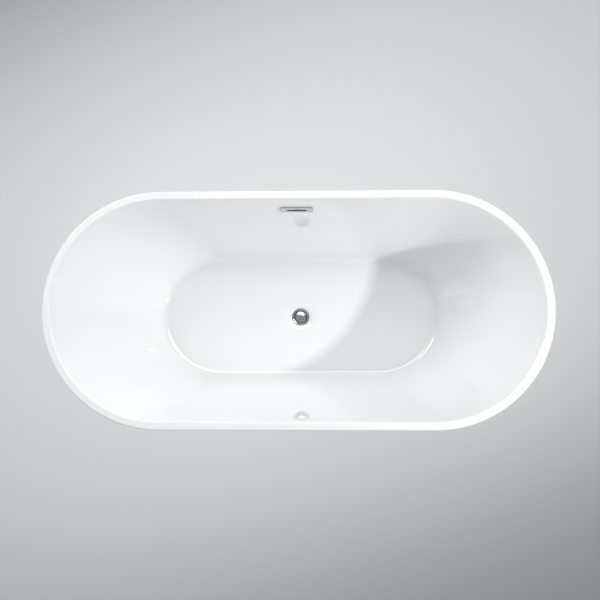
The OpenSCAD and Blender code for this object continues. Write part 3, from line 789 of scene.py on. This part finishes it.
def skirt_at(z, inside=0.0):
    """Half length and half width of the skirt's outer face at a height."""
    f = 1 - (1 - (z - toe_z) / (skirt_top - toe_z)) ** skirt_power
    return (
        rim_a - skirt_inset_l + (skirt_inset_l - head_room_l) * f - inside,
        rim_b - skirt_inset_w + (skirt_inset_w - head_room_w) * f - inside,
    )


print("skirt at the floor:", [round(half, 4) for half in skirt_at(toe_z)])

# %% Skirt rings
outer = []
for back, rise in quarter(foot_edge, 4):
    a, b = skirt_at(toe_z + rise)
    outer.append((a - back, b - back, toe_z + rise))
steps = 48
heights = [toe_z + foot_edge + (skirt_top - toe_z - foot_edge) * i / steps for i in range(1, steps + 1)]
outer += [(*skirt_at(z), z) for z in heights]
inner = [(*skirt_at(z, skirt_thickness), z) for z in heights[::-1] if z > toe_z + toe_thickness]
toe_a, toe_b = skirt_at(toe_z, skirt_thickness + toe_width)
toe_top = toe_z + toe_thickness
inner += [(*skirt_at(toe_top, skirt_thickness), toe_top), (toe_a, toe_b, toe_top), (toe_a, toe_b, toe_z)]
skirt = loft(
    "skirt_shell", [*outer, *inner, outer[0]], "acrylic", "glass_fibre",
    front_rows=len(outer), round_steps=80, straight_steps=40,
)
print("skirt:", len(outer) + len(inner), "rings,", len(skirt.data.polygons), "faces")

# %% Bolt holes
crossbar_low, crossbar_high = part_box("crossbar_right")
crossbar_x = (crossbar_low.x + crossbar_high.x) / 2
bolt_y = toe_b + toe_width / 2


def at_corners(across):
    """The four places under the crossbars, at a distance to either side of the middle."""
    return [(x * crossbar_x, y * across, 0) for x, y in quadrants]


hole_r, sink_r = 0.0032, 0.0067
countersink = [
    (0, toe_z - 0.0005, 0), (sink_r, toe_z - 0.0005, 0), (hole_r, toe_z + bolt_r, 0),
    (hole_r, toe_top + through, 0), (0, toe_top + through, 0),
]
for place in at_corners(bolt_y):
    hole = turned("hole", countersink, "acrylic", sides=32)
    skirt = combine(skirt, moved(hole, shift(*place)))
fit(skirt, "acrylic", "skirt")

# %% [markdown]
# ## The waste
# The chromed flange is screwed down into the floor on a rubber seal, dished towards its throat. The plug is
# a domed cap on a stem, with a rubber lip below, and pressing it down closes the waste. All of it is turned
# work, so each piece is a list of corners with their radii.

# %% Flange
throat_r = 0.0175
thread_r = 0.0239
flange_r, flange_top = flange_high.x, flange_high.z
thread_z = flange_low.z
seat_r, seat_z = 0.020, flange_top - 0.005
flange = turned("waste_flange", [
    (seat_r, seat_z, 0.001), (seat_r + 0.0042, flange_top - 0.0016, 0.002),
    (flange_r - 0.0035, flange_top, 0.0016), (flange_r - 0.0006, flange_top - 0.0001, 0.0006),
    (flange_r, flange_top - 0.0022, 0.0005), (flange_r, flange_top - 0.004, 0.0004),
    (thread_r, flange_top - 0.004, 0), (thread_r, thread_z, 0.0008),
    (throat_r, thread_z, 0.0005), (throat_r, seat_z - 0.0025, 0.001),
], "chrome", sides=96, steps=6)
spider_z = thread_z + 0.006
spider_top = spider_z + 0.006
ring = [circle_outline(0.009), circle_outline(0.005)]
arms = slab("arms", ring, spider_z, spider_top, "chrome", edge=0.0004)
for turn in (60, 180, 300):
    arm = slab("arm", [box_outline(0.012, 0.004, 0.0003)], spider_z, spider_top, "chrome")
    arm = moved(arm, spin(turn) @ shift(0.0128))
    arms = combine(arms, arm, "UNION")
flange = combine(flange, arms, "UNION")
fit(flange, "chrome", "drain_flange")

# %% Plug
cap_low, cap_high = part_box("plug_cap")
cap_r, cap_z, cap_top = cap_high.x, cap_low.z, cap_high.z
cap = turned("waste_cap", [
    (0, cap_z, 0), (cap_r - 0.0008, cap_z, 0.0004), (cap_r, cap_z + 0.0010, 0.0004),
    (cap_r, cap_z + 0.0034, 0.0011), (cap_r - 0.0022, cap_top - 0.0012, 0.0010),
    (cap_r - 0.0050, cap_top - 0.0009, 0.004), (cap_r * 0.45, cap_top, 0.006), (0, cap_top, 0),
], "chrome", sides=96, steps=6)
fit(cap, "chrome", "plug_cap", body="plug")

seal_low, seal_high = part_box("plug_seal")
lip_seal = turned("plug_lip_seal", [
    (0.009, seal_low.z, 0.0003), (throat_r - 0.0005, seal_low.z, 0.0006),
    (seal_high.x, seal_high.z - 0.0008, 0.0003), (seal_high.x, seal_high.z, 0.0002), (0.009, seal_high.z, 0),
], "rubber")
fit(lip_seal, "rubber", "plug_seal", body="plug")

stem_low, stem_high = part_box("plug_stem")
piston_r, stem_r, piston_top = stem_high.x, 0.003, stem_low.z + 0.004
stem = turned("plug_piston", [
    (0, stem_low.z, 0), (piston_r, stem_low.z, 0.0005), (piston_r, piston_top, 0.0005),
    (stem_r, piston_top, 0.0004), (stem_r, stem_high.z, 0), (0, stem_high.z, 0),
], "chrome", sides=40)
fit(stem, "chrome", "plug_stem", body="plug")

sleeve_low, sleeve_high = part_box("plug_sleeve")
sleeve_r, sleeve_top, spigot_r = sleeve_high.x, sleeve_high.z, 0.005
spring_z = spider_top + 0.002
sleeve = turned("plug_guide", [
    (0, sleeve_low.z, 0), (spigot_r, sleeve_low.z, 0.0005), (spigot_r, spider_top, 0.0002),
    (sleeve_r, spider_top, 0.0005), (sleeve_r, sleeve_top, 0.0008), (stem_r + running, sleeve_top, 0.0003),
    (stem_r + running, sleeve_top - 0.002, 0), (piston_r + running, sleeve_top - 0.002, 0),
    (piston_r + running, spring_z, 0), (0, spring_z, 0),
], "chrome", sides=40)
fit(sleeve, "chrome", "plug_sleeve")

# %% [markdown]
# ## Spring and threads
# A compression spring is a round wire on a spiral; Geometry Nodes have a Spiral curve and Curve to Mesh for
# just that. A thread could be swept the same way, but its ends would be ragged and it would sit on the rod
# as a second skin. Here one grid becomes the whole rod: its radius falls and rises in a triangle wave of
# height and angle together, which is what a thread is, and its end rows close to a point.

# %% Spring
def coil():
    graph, given = new_tree(
        "coil", Radius="Float", Wire="Float", Height="Float", Turns="Float", Material="Material"
    )
    spiral = graph.add("GeometryNodeCurveSpiral", {
        "Resolution": 24, "Rotations": given["Turns"], "Start Radius": given["Radius"],
        "End Radius": given["Radius"], "Height": given["Height"],
    })
    wire = graph.add("GeometryNodeCurvePrimitiveCircle", {"Resolution": 10, "Radius": given["Wire"]})
    inputs = {"Curve": spiral, "Profile Curve": wire, "Fill Caps": True}
    swept = graph.add("GeometryNodeCurveToMesh", inputs)
    return end_tree(graph, given, swept)


spring_low, spring_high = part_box("plug_spring")
wire_r = 0.00065
spring_length = spring_high.z - spring_low.z
spring = grow(
    "plug_coil", coil(), bpy.data.meshes.new("start"), Radius=spring_high.x - wire_r, Wire=wire_r,
    Height=spring_length - 2 * wire_r, Turns=6.0, Material=finishes["zinc"],
)
moved(spring, shift(z=spring_low.z + wire_r))
fit(spring, "zinc", "plug_spring")
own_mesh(spring)

# %% Threaded rod tree
def threaded_rod():
    graph, given = new_tree(
        "threaded_rod", Radius="Float", Pitch="Float", Length="Float", Sides="Int", Per_turn="Int",
        Material="Material",
    )
    rows = graph.math("ROUND", given["Length"] / given["Pitch"] * given["Per_turn"]) + 3.0
    grid, around, row = unit_grid(graph, given["Sides"], rows)
    row = graph.math("ROUND", row)
    last = rows - 1.0

    # the first and last rows shut the ends, so the height runs between the second and the last but one
    share = graph.limited((row - 1.0) / (last - 2.0))
    height = share * given["Length"]
    wave = graph.math("ABSOLUTE", graph.math("FRACT", height / given["Pitch"] - around) * 2.0 - 1.0)
    depth = given["Pitch"] * 0.54
    lead_in = graph.math("MINIMUM", height, given["Length"] - height)
    chamfer = graph.math("MAXIMUM", depth - lead_in, 0.0)
    radius = given["Radius"] - graph.math("MAXIMUM", wave * depth, chamfer)
    open_row = graph.math("MULTIPLY", row > 0.5, row < last - 0.5)
    place = round_axis(graph, radius * open_row, around * (2 * math.pi), height)
    shaped = graph.add("GeometryNodeSetPosition", {"Geometry": grid, "Position": place})
    joined = graph.add("GeometryNodeMergeByDistance", {"Geometry": shaped, "Distance": 1e-6})
    return end_tree(graph, given, joined)


threading = threaded_rod()


def thread(name, radius, pitch, low, high, finish, sides=24, per_turn=6):
    piece = grow(
        name, threading, bpy.data.meshes.new("start"), Radius=radius, Pitch=pitch, Length=high - low,
        Sides=sides, Per_turn=per_turn, Material=finishes[finish],
    )
    return moved(piece, shift(z=low))


print("threaded rod:", len(threading.tree.nodes), "nodes")

# %% [markdown]
# ## Nuts and screws
# A hexagonal nut is turned from hexagonal bar: its corners are cut back by a cone at both ends. So a plain
# hexagon is intersected with a turned, double-coned blank, and then bored.

# %% Nut and screw shapes
def hexagon(name, corners_width, low, high, bore_r, finish="zinc"):
    """A nut round +Z, or a hexagonal collar where bore_r is 0."""
    across = corners_width / 2
    flat = across * math.cos(math.pi / 6)
    drop = (across - flat) * 0.6
    nut = slab(name, [circle_outline(across, 6)], low, high, finish)
    blank = turned("blank", [
        (0, low, 0), (flat, low, 0), (across, low + drop, 0), (across, high - drop, 0), (flat, high, 0),
        (0, high, 0),
    ], finish, sides=48)
    nut = combine(nut, blank, "INTERSECT")
    if bore_r:
        bevel = bore_r * 0.12
        bore = turned("bore", [
            (0, low - through, 0), (bore_r + bevel, low - through, 0), (bore_r + bevel, low, 0),
            (bore_r, low + bevel, 0), (bore_r, high - bevel, 0), (bore_r + bevel, high, 0),
            (bore_r + bevel, high + through, 0), (0, high + through, 0),
        ], finish, sides=32)
        nut = combine(nut, bore)
    nut.name = name
    return nut


def pan_screw(name, radius, head_low, head_high, shank_high):
    """A screw whose head is at the bottom, with a cross recess."""
    screw = turned(name, [
        (0, head_low, 0), (2 * radius * 0.7, head_low, 0.0008), (2 * radius, head_high - 0.0008, 0.001),
        (2 * radius, head_high, 0.0002), (radius, head_high, 0.0002), (radius, shank_high - 0.004, 0.001),
        (radius * 0.15, shank_high, 0.0002), (0, shank_high, 0),
    ], "zinc", sides=32)
    cross = [box_outline(2.4 * radius, 0.0009, 0.0002)]
    for turn in (0, 90):
        slot = slab("slot", cross, head_low - through, head_low + 0.0016, "zinc")
        screw = combine(screw, moved(slot, spin(turn)))
    screw.name = name
    return screw


print("nut and screw shapes ready")

# %% [markdown]
# Identical fasteners are one shape set down at many points. The tree takes the points as the corners of a
# small mesh and the shape as an object.

# %% Fasteners on points
def set_down():
    graph, given = new_tree("set_down", Shape="Object", Material="Material")
    shape = graph.add("GeometryNodeObjectInfo", {"Object": given["Shape"]}, output="Geometry")
    placed = graph.add("GeometryNodeInstanceOnPoints", {"Points": given["Geometry"], "Instance": shape})
    return end_tree(graph, given, placed)


setting = set_down()


def repeat(name, shape, places, finish="zinc"):
    """One piece that holds a copy of a shape at each place. The shape is used up."""
    points = bpy.data.meshes.new("places")
    points.from_pydata(places, [], [])
    piece = grow(name, setting, points, Shape=shape, Material=finishes[finish])
    bpy.data.objects.remove(shape)
    return piece


print("fasteners are set down by", len(setting.tree.nodes), "nodes")

# %% Screws
frame_z = crossbar_low.z
board_z = board_low.z
screw_r = 0.0025
screw_head = 0.003
rail_y = (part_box("rail_back")[0].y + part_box("rail_back")[1].y) / 2
rail_screws = [(x * crossbar_x, side * rail_y, 0) for side in (-1, 1) for x in (-0.85, -0.25, 0.25, 0.85)]
screw = pan_screw("screw", screw_r, frame_z - screw_head, frame_z, board_z + 0.012)
fit(repeat("board_screws", screw, rail_screws), "zinc", "frame_screws")

bracket_thickness = 0.003
bracket_z = frame_z - bracket_thickness
bracket_screw_y = crossbar_high.y - 0.016
screw = pan_screw("screw", screw_r, bracket_z - screw_head, bracket_z, frame_z + 0.010)
fit(repeat("bracket_fixings", screw, at_corners(bracket_screw_y)), "zinc", "bracket_screws")

# %% Skirt bolts
bolt_low, bolt_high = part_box("bracket_bolts")
bolt_pitch = 0.001
bolt = thread("bolt", bolt_r, bolt_pitch, bolt_low.z + bolt_r, bolt_high.z, "zinc")
head = turned("head", [
    (0, bolt_low.z, 0), (2 * bolt_r, bolt_low.z, 0.0002), (bolt_r, bolt_low.z + bolt_r, 0),
    (bolt_r * 0.7, bolt_low.z + bolt_r + 0.001, 0), (0, bolt_low.z + bolt_r + 0.001, 0),
], "zinc", sides=32)
bolt = combine(bolt, head, "UNION")
key_r, key_depth = 0.0023, 0.0022
key_hole = slab("key", [circle_outline(key_r, 6)], bolt_low.z - through, bolt_low.z + key_depth, "zinc")
bolt = combine(bolt, key_hole)
fit(repeat("skirt_bolts", bolt, at_corners(bolt_y)), "zinc", "bracket_bolts")
nut_low, nut_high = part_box("bracket_nuts")
nut = hexagon("nut", 1.85 * 2 * bolt_r, nut_low.z, nut_high.z, bolt_r)
fit(repeat("skirt_nuts", nut, at_corners(bolt_y)), "zinc", "bracket_nuts")

# %% Feet
pad_low, pad_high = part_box("foot_pad_1")
foot_y = (pad_low.y + pad_high.y) / 2
stud_radius, stud_pitch = 0.006, 0.00175
for name, node, spread in (("welded_nuts", "weld_nuts", 0.0216), ("counter_nuts", "lock_nuts", 0.0208)):
    low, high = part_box(node)
    nut = hexagon("nut", spread, low.z, high.z, stud_radius + running)
    fit(repeat(name, nut, at_corners(foot_y)), "zinc", node)

pad_r, pad_floor = pad_high.x - crossbar_x, 0.005
for i, place in enumerate(at_corners(foot_y), 1):
    pad = turned(f"foot_cup_{i}", [
        (0, 0.0006, 0), (0.008, 0.0006, 0.0002), (0.009, 0, 0.0003), (0.014, 0, 0.0003),
        (0.015, 0.0008, 0.0003), (0.019, 0.0008, 0.0003), (0.020, 0, 0.0003),
        (pad_r - 0.001, 0, 0.0004), (pad_r, 0.001, 0.0004),
        (pad_r, pad_floor, 0.001), (pad_r - 0.003, pad_floor + 0.0006, 0.001), (0.0165, 0.0125, 0.004),
        (0.0145, pad_high.z, 0.0012), (stud_radius + running, pad_high.z, 0.0004),
        (stud_radius + running, pad_floor, 0), (0, pad_floor, 0),
    ], "rubber")
    fit(moved(pad, shift(*place)), "rubber", f"foot_pad_{i}", body=f"foot_{i}")
    low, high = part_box(f"foot_stud_{i}")
    stud = thread(f"foot_screw_{i}", stud_radius, stud_pitch, low.z, high.z, "zinc")
    collar = hexagon("collar", 0.0196, pad_high.z + 0.001, pad_high.z + 0.009, 0)
    stud = combine(stud, collar, "UNION")
    fit(moved(stud, shift(*place)), "zinc", f"foot_stud_{i}", body=f"stud_{i}")

# %% [markdown]
# ## Pipework
# Below the floor the waste runs into a white tee, whose branch takes the overflow's hose, and leaves through
# a chromed tailpiece held by a nut with finger ribs. The tee is turned body and turned branch, joined, and
# bored right through after the joining, so that the bores meet cleanly inside.

# %% Tee
tee_low, tee_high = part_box("waste_tee")
tail_low, tail_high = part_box("tailpiece")
nut_low, nut_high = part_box("tailpiece_nut")
hose_low, hose_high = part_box("overflow_hose")
branch_z = 0.060
collar_r = thread_r + 0.005
tee_r = throat_r + 0.0035
tail_r = tail_high.x
tail_bore_r = tail_r - 0.0015
socket_r = tail_r + 0.0034
socket_top = tee_low.z + 0.016
neck_r = tail_r - 0.0004
tee = turned("waste_tee_body", [
    (0, tee_low.z, 0), (socket_r, tee_low.z, 0.0006), (socket_r, socket_top + 0.003, 0.001),
    (tee_r, socket_top + 0.003, 0.001), (tee_r, thread_z - 0.003, 0.002),
    (collar_r, thread_z - 0.003, 0.001), (collar_r, tee_high.z - 0.004, 0.0012),
    (collar_r + 0.004, tee_high.z - 0.004, 0.0006), (collar_r + 0.004, tee_high.z, 0.0006),
    (0, tee_high.z, 0),
], "white_plastic", sides=72)
spout_r, spout_bore_r, shoulder_r, shoulder = 0.012, 0.0095, 0.014, 0.060
along_y = spin(-90, "X")
to_branch = shift(z=branch_z) @ along_y
barbs = []
barb_foot_r = spout_r - 0.0005
for k in range(3):
    start = shoulder + 0.006 + 0.005 * k
    barbs += [(barb_foot_r, start, 0), (spout_r, start + 0.0002, 0), (barb_foot_r, start + 0.004, 0)]
branch = turned("branch", [
    (0, 0, 0), (shoulder_r, 0, 0), (shoulder_r, shoulder, 0.0008), (barb_foot_r, shoulder, 0.0005),
    *barbs, (barb_foot_r, tee_high.y, 0.0006), (0, tee_high.y, 0),
], "white_plastic", sides=48)
tee = combine(tee, moved(branch, to_branch), "UNION")
bore = turned("bore", [
    (0, tee_low.z - through, 0), (neck_r + 0.0004, tee_low.z - through, 0),
    (neck_r + running, tee_low.z + 0.0005, 0), (neck_r + running, socket_top, 0),
    (throat_r, socket_top, 0), (throat_r, thread_z, 0), (thread_r, thread_z, 0),
    (thread_r, tee_high.z + through, 0), (0, tee_high.z + through, 0),
], "white_plastic", sides=72)
tee = combine(tee, bore)
branch_bore = turned("bore", [
    (0, 0, 0), (spout_bore_r, 0, 0), (spout_bore_r, 0.1, 0), (0, 0.1, 0),
], "white_plastic", sides=48)
tee = combine(tee, moved(branch_bore, to_branch))
fit(tee, "white_plastic", "waste_tee")

# %% Tailpiece and its nut
shoulder_z = nut_low.z - 0.0005
tail = turned("waste_tail", [
    (tail_r, tail_low.z, 0.0004), (tail_r, shoulder_z, 0.0002), (neck_r, shoulder_z, 0),
    (neck_r, tail_high.z, 0.0003), (tail_bore_r, tail_high.z, 0.0003), (tail_bore_r, tail_low.z, 0.0004),
], "chrome", sides=72)
fit(tail, "chrome", "tailpiece")

ribbed = []
rib_count, rib_height = 8, 0.0018
for k in range(rib_count):
    for offset, rise in ((-5, 0), (-4, rib_height), (4, rib_height), (5, 0), (22, 0)):
        angle = math.radians(360 / rib_count * k + offset)
        reach = nut_high.y - 0.002 + rise
        ribbed.append((reach * math.cos(angle), reach * math.sin(angle)))
tail_nut = slab("waste_nut", [ribbed], nut_low.z, nut_high.z, "white_plastic", edge=0.0005)
washer_z = tee_low.z - 0.004
bore = turned("bore", [
    (0, nut_low.z - through, 0), (tail_r + 0.0005, nut_low.z - through, 0),
    (tail_r + 0.0005, washer_z, 0), (socket_r, washer_z, 0), (socket_r, nut_high.z - 0.0006, 0),
    (socket_r + 0.0006, nut_high.z + through, 0), (0, nut_high.z + through, 0),
], "white_plastic", sides=64)
tail_nut = combine(tail_nut, bore)
fit(tail_nut, "white_plastic", "tailpiece_nut")

# %% [markdown]
# ## Overflow plate and box
# The plate is a chromed bar with a dark slot, standing a few millimetres off the wall on its seal. Behind
# the wall, a white box catches the water, and its two nuts clamp wall, seals and plate together.

# %% Overflow
seal_t, plate_t = 0.001, 0.005
wall_back = -wall_thickness
plate_w, plate_h = 0.110, 0.026
plate = slab("overflow_trim", [
    box_outline(plate_w, plate_h, 0.003, 8), box_outline(slot_width, slot_height, 0.0018, 8),
], seal_t, seal_t + plate_t, "chrome", edge=0.0009)
for side in (-1, 1):
    stud = thread("stud", stud_r, 0.0008, wall_back - 0.011, seal_t + 0.001, "chrome", sides=16, per_turn=5)
    plate = combine(plate, moved(stud, shift(side * stud_x)), "UNION")
fit(moved(plate, on_wall), "chrome", "overflow_plate")

box_flange = wall_back - 0.005
nut = hexagon("nut", 0.0088, box_flange - 0.004, box_flange, stud_r)
nuts = repeat("overflow_fixings", nut, [(side * stud_x, 0, 0) for side in (-1, 1)])
fit(moved(nuts, on_wall), "zinc", "overflow_nuts")
soften("white_plastic", 0.0008, 0.004, "overflow_box")

# %% [markdown]
# ## The corrugated hose
# The hose is a moulded tube with fine ribs round it, so it bends without a kink, and with a smooth cuff at
# each end for its clamp. Its middle line is a straight run beside the basin, one bend and a short level
# run. Geometry Nodes resample that line finely and let the radius rise and fall along it, fading out at
# the cuffs.

# %% Hose tree
def ribbed_hose():
    graph, given = new_tree(
        "ribbed_hose", Radius="Float", Rib="Float", Spacing="Float", Cuff="Float", Sides="Int",
        Material="Material",
    )
    line = graph.add("GeometryNodeMeshToCurve", {0: given["Geometry"]})
    inputs = {"Curve": line, "Length": given["Spacing"] / 6.0}
    line = graph.add("GeometryNodeResampleCurve", inputs, {"mode": "LENGTH"})
    walked = graph.add("GeometryNodeSplineParameter", output="Length")
    whole = graph.add("GeometryNodeSplineLength", output="Length")
    from_end = graph.math("MINIMUM", walked, whole - walked)
    ribbed = graph.limited((from_end - given["Cuff"]) * 400.0)
    wave = graph.math("COSINE", walked / given["Spacing"] * (2 * math.pi)) * 0.5 - 0.5
    radius = given["Radius"] + given["Rib"] * wave * ribbed
    inputs = {"Resolution": given["Sides"], "Radius": 1.0}
    round_line = graph.add("GeometryNodeCurvePrimitiveCircle", inputs)
    inputs = {"Curve": line, "Profile Curve": round_line, "Scale": radius}
    tube = graph.add("GeometryNodeCurveToMesh", inputs)
    return end_tree(graph, given, tube)


print("hose tree ready")

# %% Hose
hose_r = 0.014
hose_bend = 0.110
up_wall = Vector((math.sin(side_lean), math.cos(side_lean)))
top_end = Vector((hose_high.y - hose_r * math.cos(side_lean), hose_high.z - hose_r * math.sin(side_lean)))
corner_y = top_end.x - (top_end.y - branch_z) * math.tan(side_lean)
hose_turn = math.pi / 2 - side_lean
hose_tangent = hose_bend * math.tan(hose_turn / 2)
bend_start = corner_y - hose_tangent
hose_line = [(0, hose_low.y, branch_z)]
bend_steps = 32
for i in range(bend_steps + 1):
    turn = hose_turn * i / bend_steps
    out, up = hose_bend * math.sin(turn), hose_bend * (1 - math.cos(turn))
    hose_line.append((0, bend_start + out, branch_z + up))
hose_line.append((0, top_end.x, top_end.y))
line = bpy.data.meshes.new("hose_line")
line.from_pydata(hose_line, [(i, i + 1) for i in range(len(hose_line) - 1)], [])

hose = grow(
    "overflow_tube", ribbed_hose(), line, wall=0.0012, sharp=60, Radius=hose_r, Rib=0.0014, Spacing=0.0045,
    Cuff=0.022, Sides=32, Material=finishes["white_plastic"],
)
fit(hose, "white_plastic", "overflow_hose")

# %% [markdown]
# ## Hose clamps
# A worm clamp is a steel band with slots pressed into it. A screw, hidden in the small housing, bites into
# the slots and draws the band tight.

# %% Clamps
band_width, band_t = 0.010, 0.0009
slot_turns = range(40, 320, 8)  # degrees from the housing


def clamp(name):
    """A clamp round +Z from the floor up, with its housing towards +X."""
    band = turned(name, [
        (hose_r, 0, 0.0002), (hose_r + band_t, 0, 0.0003), (hose_r + band_t, band_width, 0.0003),
        (hose_r, band_width, 0.0002),
    ], "zinc", sides=64)
    stand = spin(90, "Y") @ spin(90)
    for degrees in slot_turns:
        slot = slab("slot", [box_outline(0.0007, 0.0055, 0.0003, 2)], -0.0003, 0.001, "zinc")
        place = spin(degrees) @ shift(hose_r + band_t, 0, band_width / 2)
        band = combine(band, moved(slot, place @ stand))
    outline = [box_outline(0.012, band_width - 0.001, 0.0008)]
    housing = slab("housing", outline, 0, 0.0046, "zinc", edge=0.0006)
    return combine(band, moved(housing, shift(hose_r + 0.0008, 0, band_width / 2) @ stand), "UNION")


clamp_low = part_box("hose_clamp_bottom")[0]
lower = moved(clamp("lower_clamp"), shift(0, clamp_low.y, branch_z) @ along_y)
fit(lower, "zinc", "hose_clamp_bottom")
hose_margin = 0.005
from_top = hose_margin + band_width
upper_at = shift(0, top_end.x - from_top * up_wall.x, top_end.y - from_top * up_wall.y)
upper = moved(clamp("upper_clamp"), upper_at @ Matrix.Rotation(-side_lean, 4, "X"))
fit(upper, "zinc", "hose_clamp_top")

# %% [markdown]
# ## Board and frame
# Tube, board and brackets have the right shape already and only want softer edges: cold-rolled tube has a
# corner radius, and a board's edge is eased with paper. So each is a copy of the working model's own part
# with its long edges rounded.

# %% Board, tubes and brackets
soften("plywood", 0.0012, 0.0015, "base_board")
soften(
    "painted_steel", 0.0018, 0.015, "rail_front", "rail_back", "crossbar_left", "crossbar_right",
    "brace_left", "brace_right", steps=4,
)
soften("black_plastic", 0.0008, 0.002, "tube_caps")
soften("zinc", 0.0006, 0.002, *(f"skirt_bracket_{i}" for i in range(1, 5)))

# %% Parts that keep their own shape
kept = {
    "rim_bond": "adhesive", "drain_seal_top": "rubber", "drain_seal_bottom": "rubber",
    "tailpiece_washer": "rubber", "overflow_seal": "rubber", "overflow_gasket": "rubber",
}
for node, finish in kept.items():
    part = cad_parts[node]
    paint(part, finish)
print("kept as they are:", ", ".join(kept))

# %% [markdown]
# ## Stage and light
# A plain pale ground and soft studio light. A small key lamp, low on the right and a little to the front,
# throws the shadow of the bath's right end across its floor. A broad panel overhead gives the rim and the
# chrome something to mirror, and a large fill from the back left lights the walls that face it. These three
# light the bath alone. The ground has a pool of its own from a soft-edged spot, which fades towards the
# corners and which the bath doesn't block. The rest is an even, dim surround.

# %% Stage
def floor_finish():
    f = Finish("studio_floor", Specular_IOR_Level=0.2)
    f.feed(
        Base_Color=f.between(f.noise(0.6, 1.0), (0.60, 0.605, 0.61), (0.63, 0.63, 0.63)),
        Roughness=0.75 + 0.1 * f.noise(40.0),
    )
    return f.material


ground = bpy.data.meshes.new("studio_floor")
reach = 12.0
ground.from_pydata([(x * reach, y * reach, 0) for x, y in quadrants], [], [(0, 1, 2, 3)])
ground.materials.append(floor_finish())
stage = shown("studio_floor", ground)
stage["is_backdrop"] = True
print("ground", 2 * reach, "m across")

# %% Light
def linked_group(name, state):
    """A light-linking group: the ground alone, either lit (INCLUDE) or left out (EXCLUDE)."""
    group = bpy.data.collections.new(name)
    group.objects.link(stage)
    group.collection_objects[0].light_linking.link_state = state
    return group


def lamp(name, place, aim, size, power, height=None):
    """A rectangular lamp at a place, turned to an aim, that lights the bath alone."""
    light = bpy.data.lights.new(name, "AREA")
    light.shape = "RECTANGLE"
    light.size = size
    light.size_y = height or size
    light.energy = power
    holder = shown(name, light)
    holder.location = place
    holder.rotation_euler = (Vector(aim) - Vector(place)).to_track_quat("-Z", "Y").to_euler()
    holder.light_linking.receiver_collection = linked_group(name + "_lights", "EXCLUDE")


world = bpy.data.worlds.new("studio")
world.use_nodes = True
surround = world.node_tree.nodes["Background"].inputs
surround["Color"].default_value = (0.95, 0.97, 1.0, 1)
surround["Strength"].default_value = 0.41
bpy.context.scene.world = world
bpy.context.scene.view_settings.view_transform = "Standard"

key_from = Vector((0.7645, -0.2484, 0.5948)).normalized()
lamp("key", key_from * 3.4, aim=(0, 0, 0.3), size=0.1, power=50.0)
lamp("overhead", (0.7, 1.6, 4.2), aim=(0.7, 0.4, 0.3), size=3.3, power=53.0, height=1.5)
lamp("fill", (-2.6, 2.6, 2.6), aim=(0.5, -0.3, 0.3), size=2.0, power=84.0)

spot = bpy.data.lights.new("pool", "SPOT")
spot.energy = 395.0
spot.spot_size = math.radians(54)
spot.spot_blend = 1.0
spot.shadow_soft_size = 0.3
pool = shown("pool", spot)
pool.location = (-0.05, 0.36, 3.6)
pool.rotation_euler = (0, 0, math.radians(20))
pool.scale = (2.6, 1.0, 1.0)
pool.light_linking.receiver_collection = linked_group("pool_lights", "INCLUDE")
pool.light_linking.blocker_collection = linked_group("pool_blockers", "INCLUDE")
print("lights:", ", ".join(light.name for light in bpy.data.lights))

# %% Size of the visual model
low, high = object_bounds()
print("visual model", [round(x, 4) for x in high - low], "m")
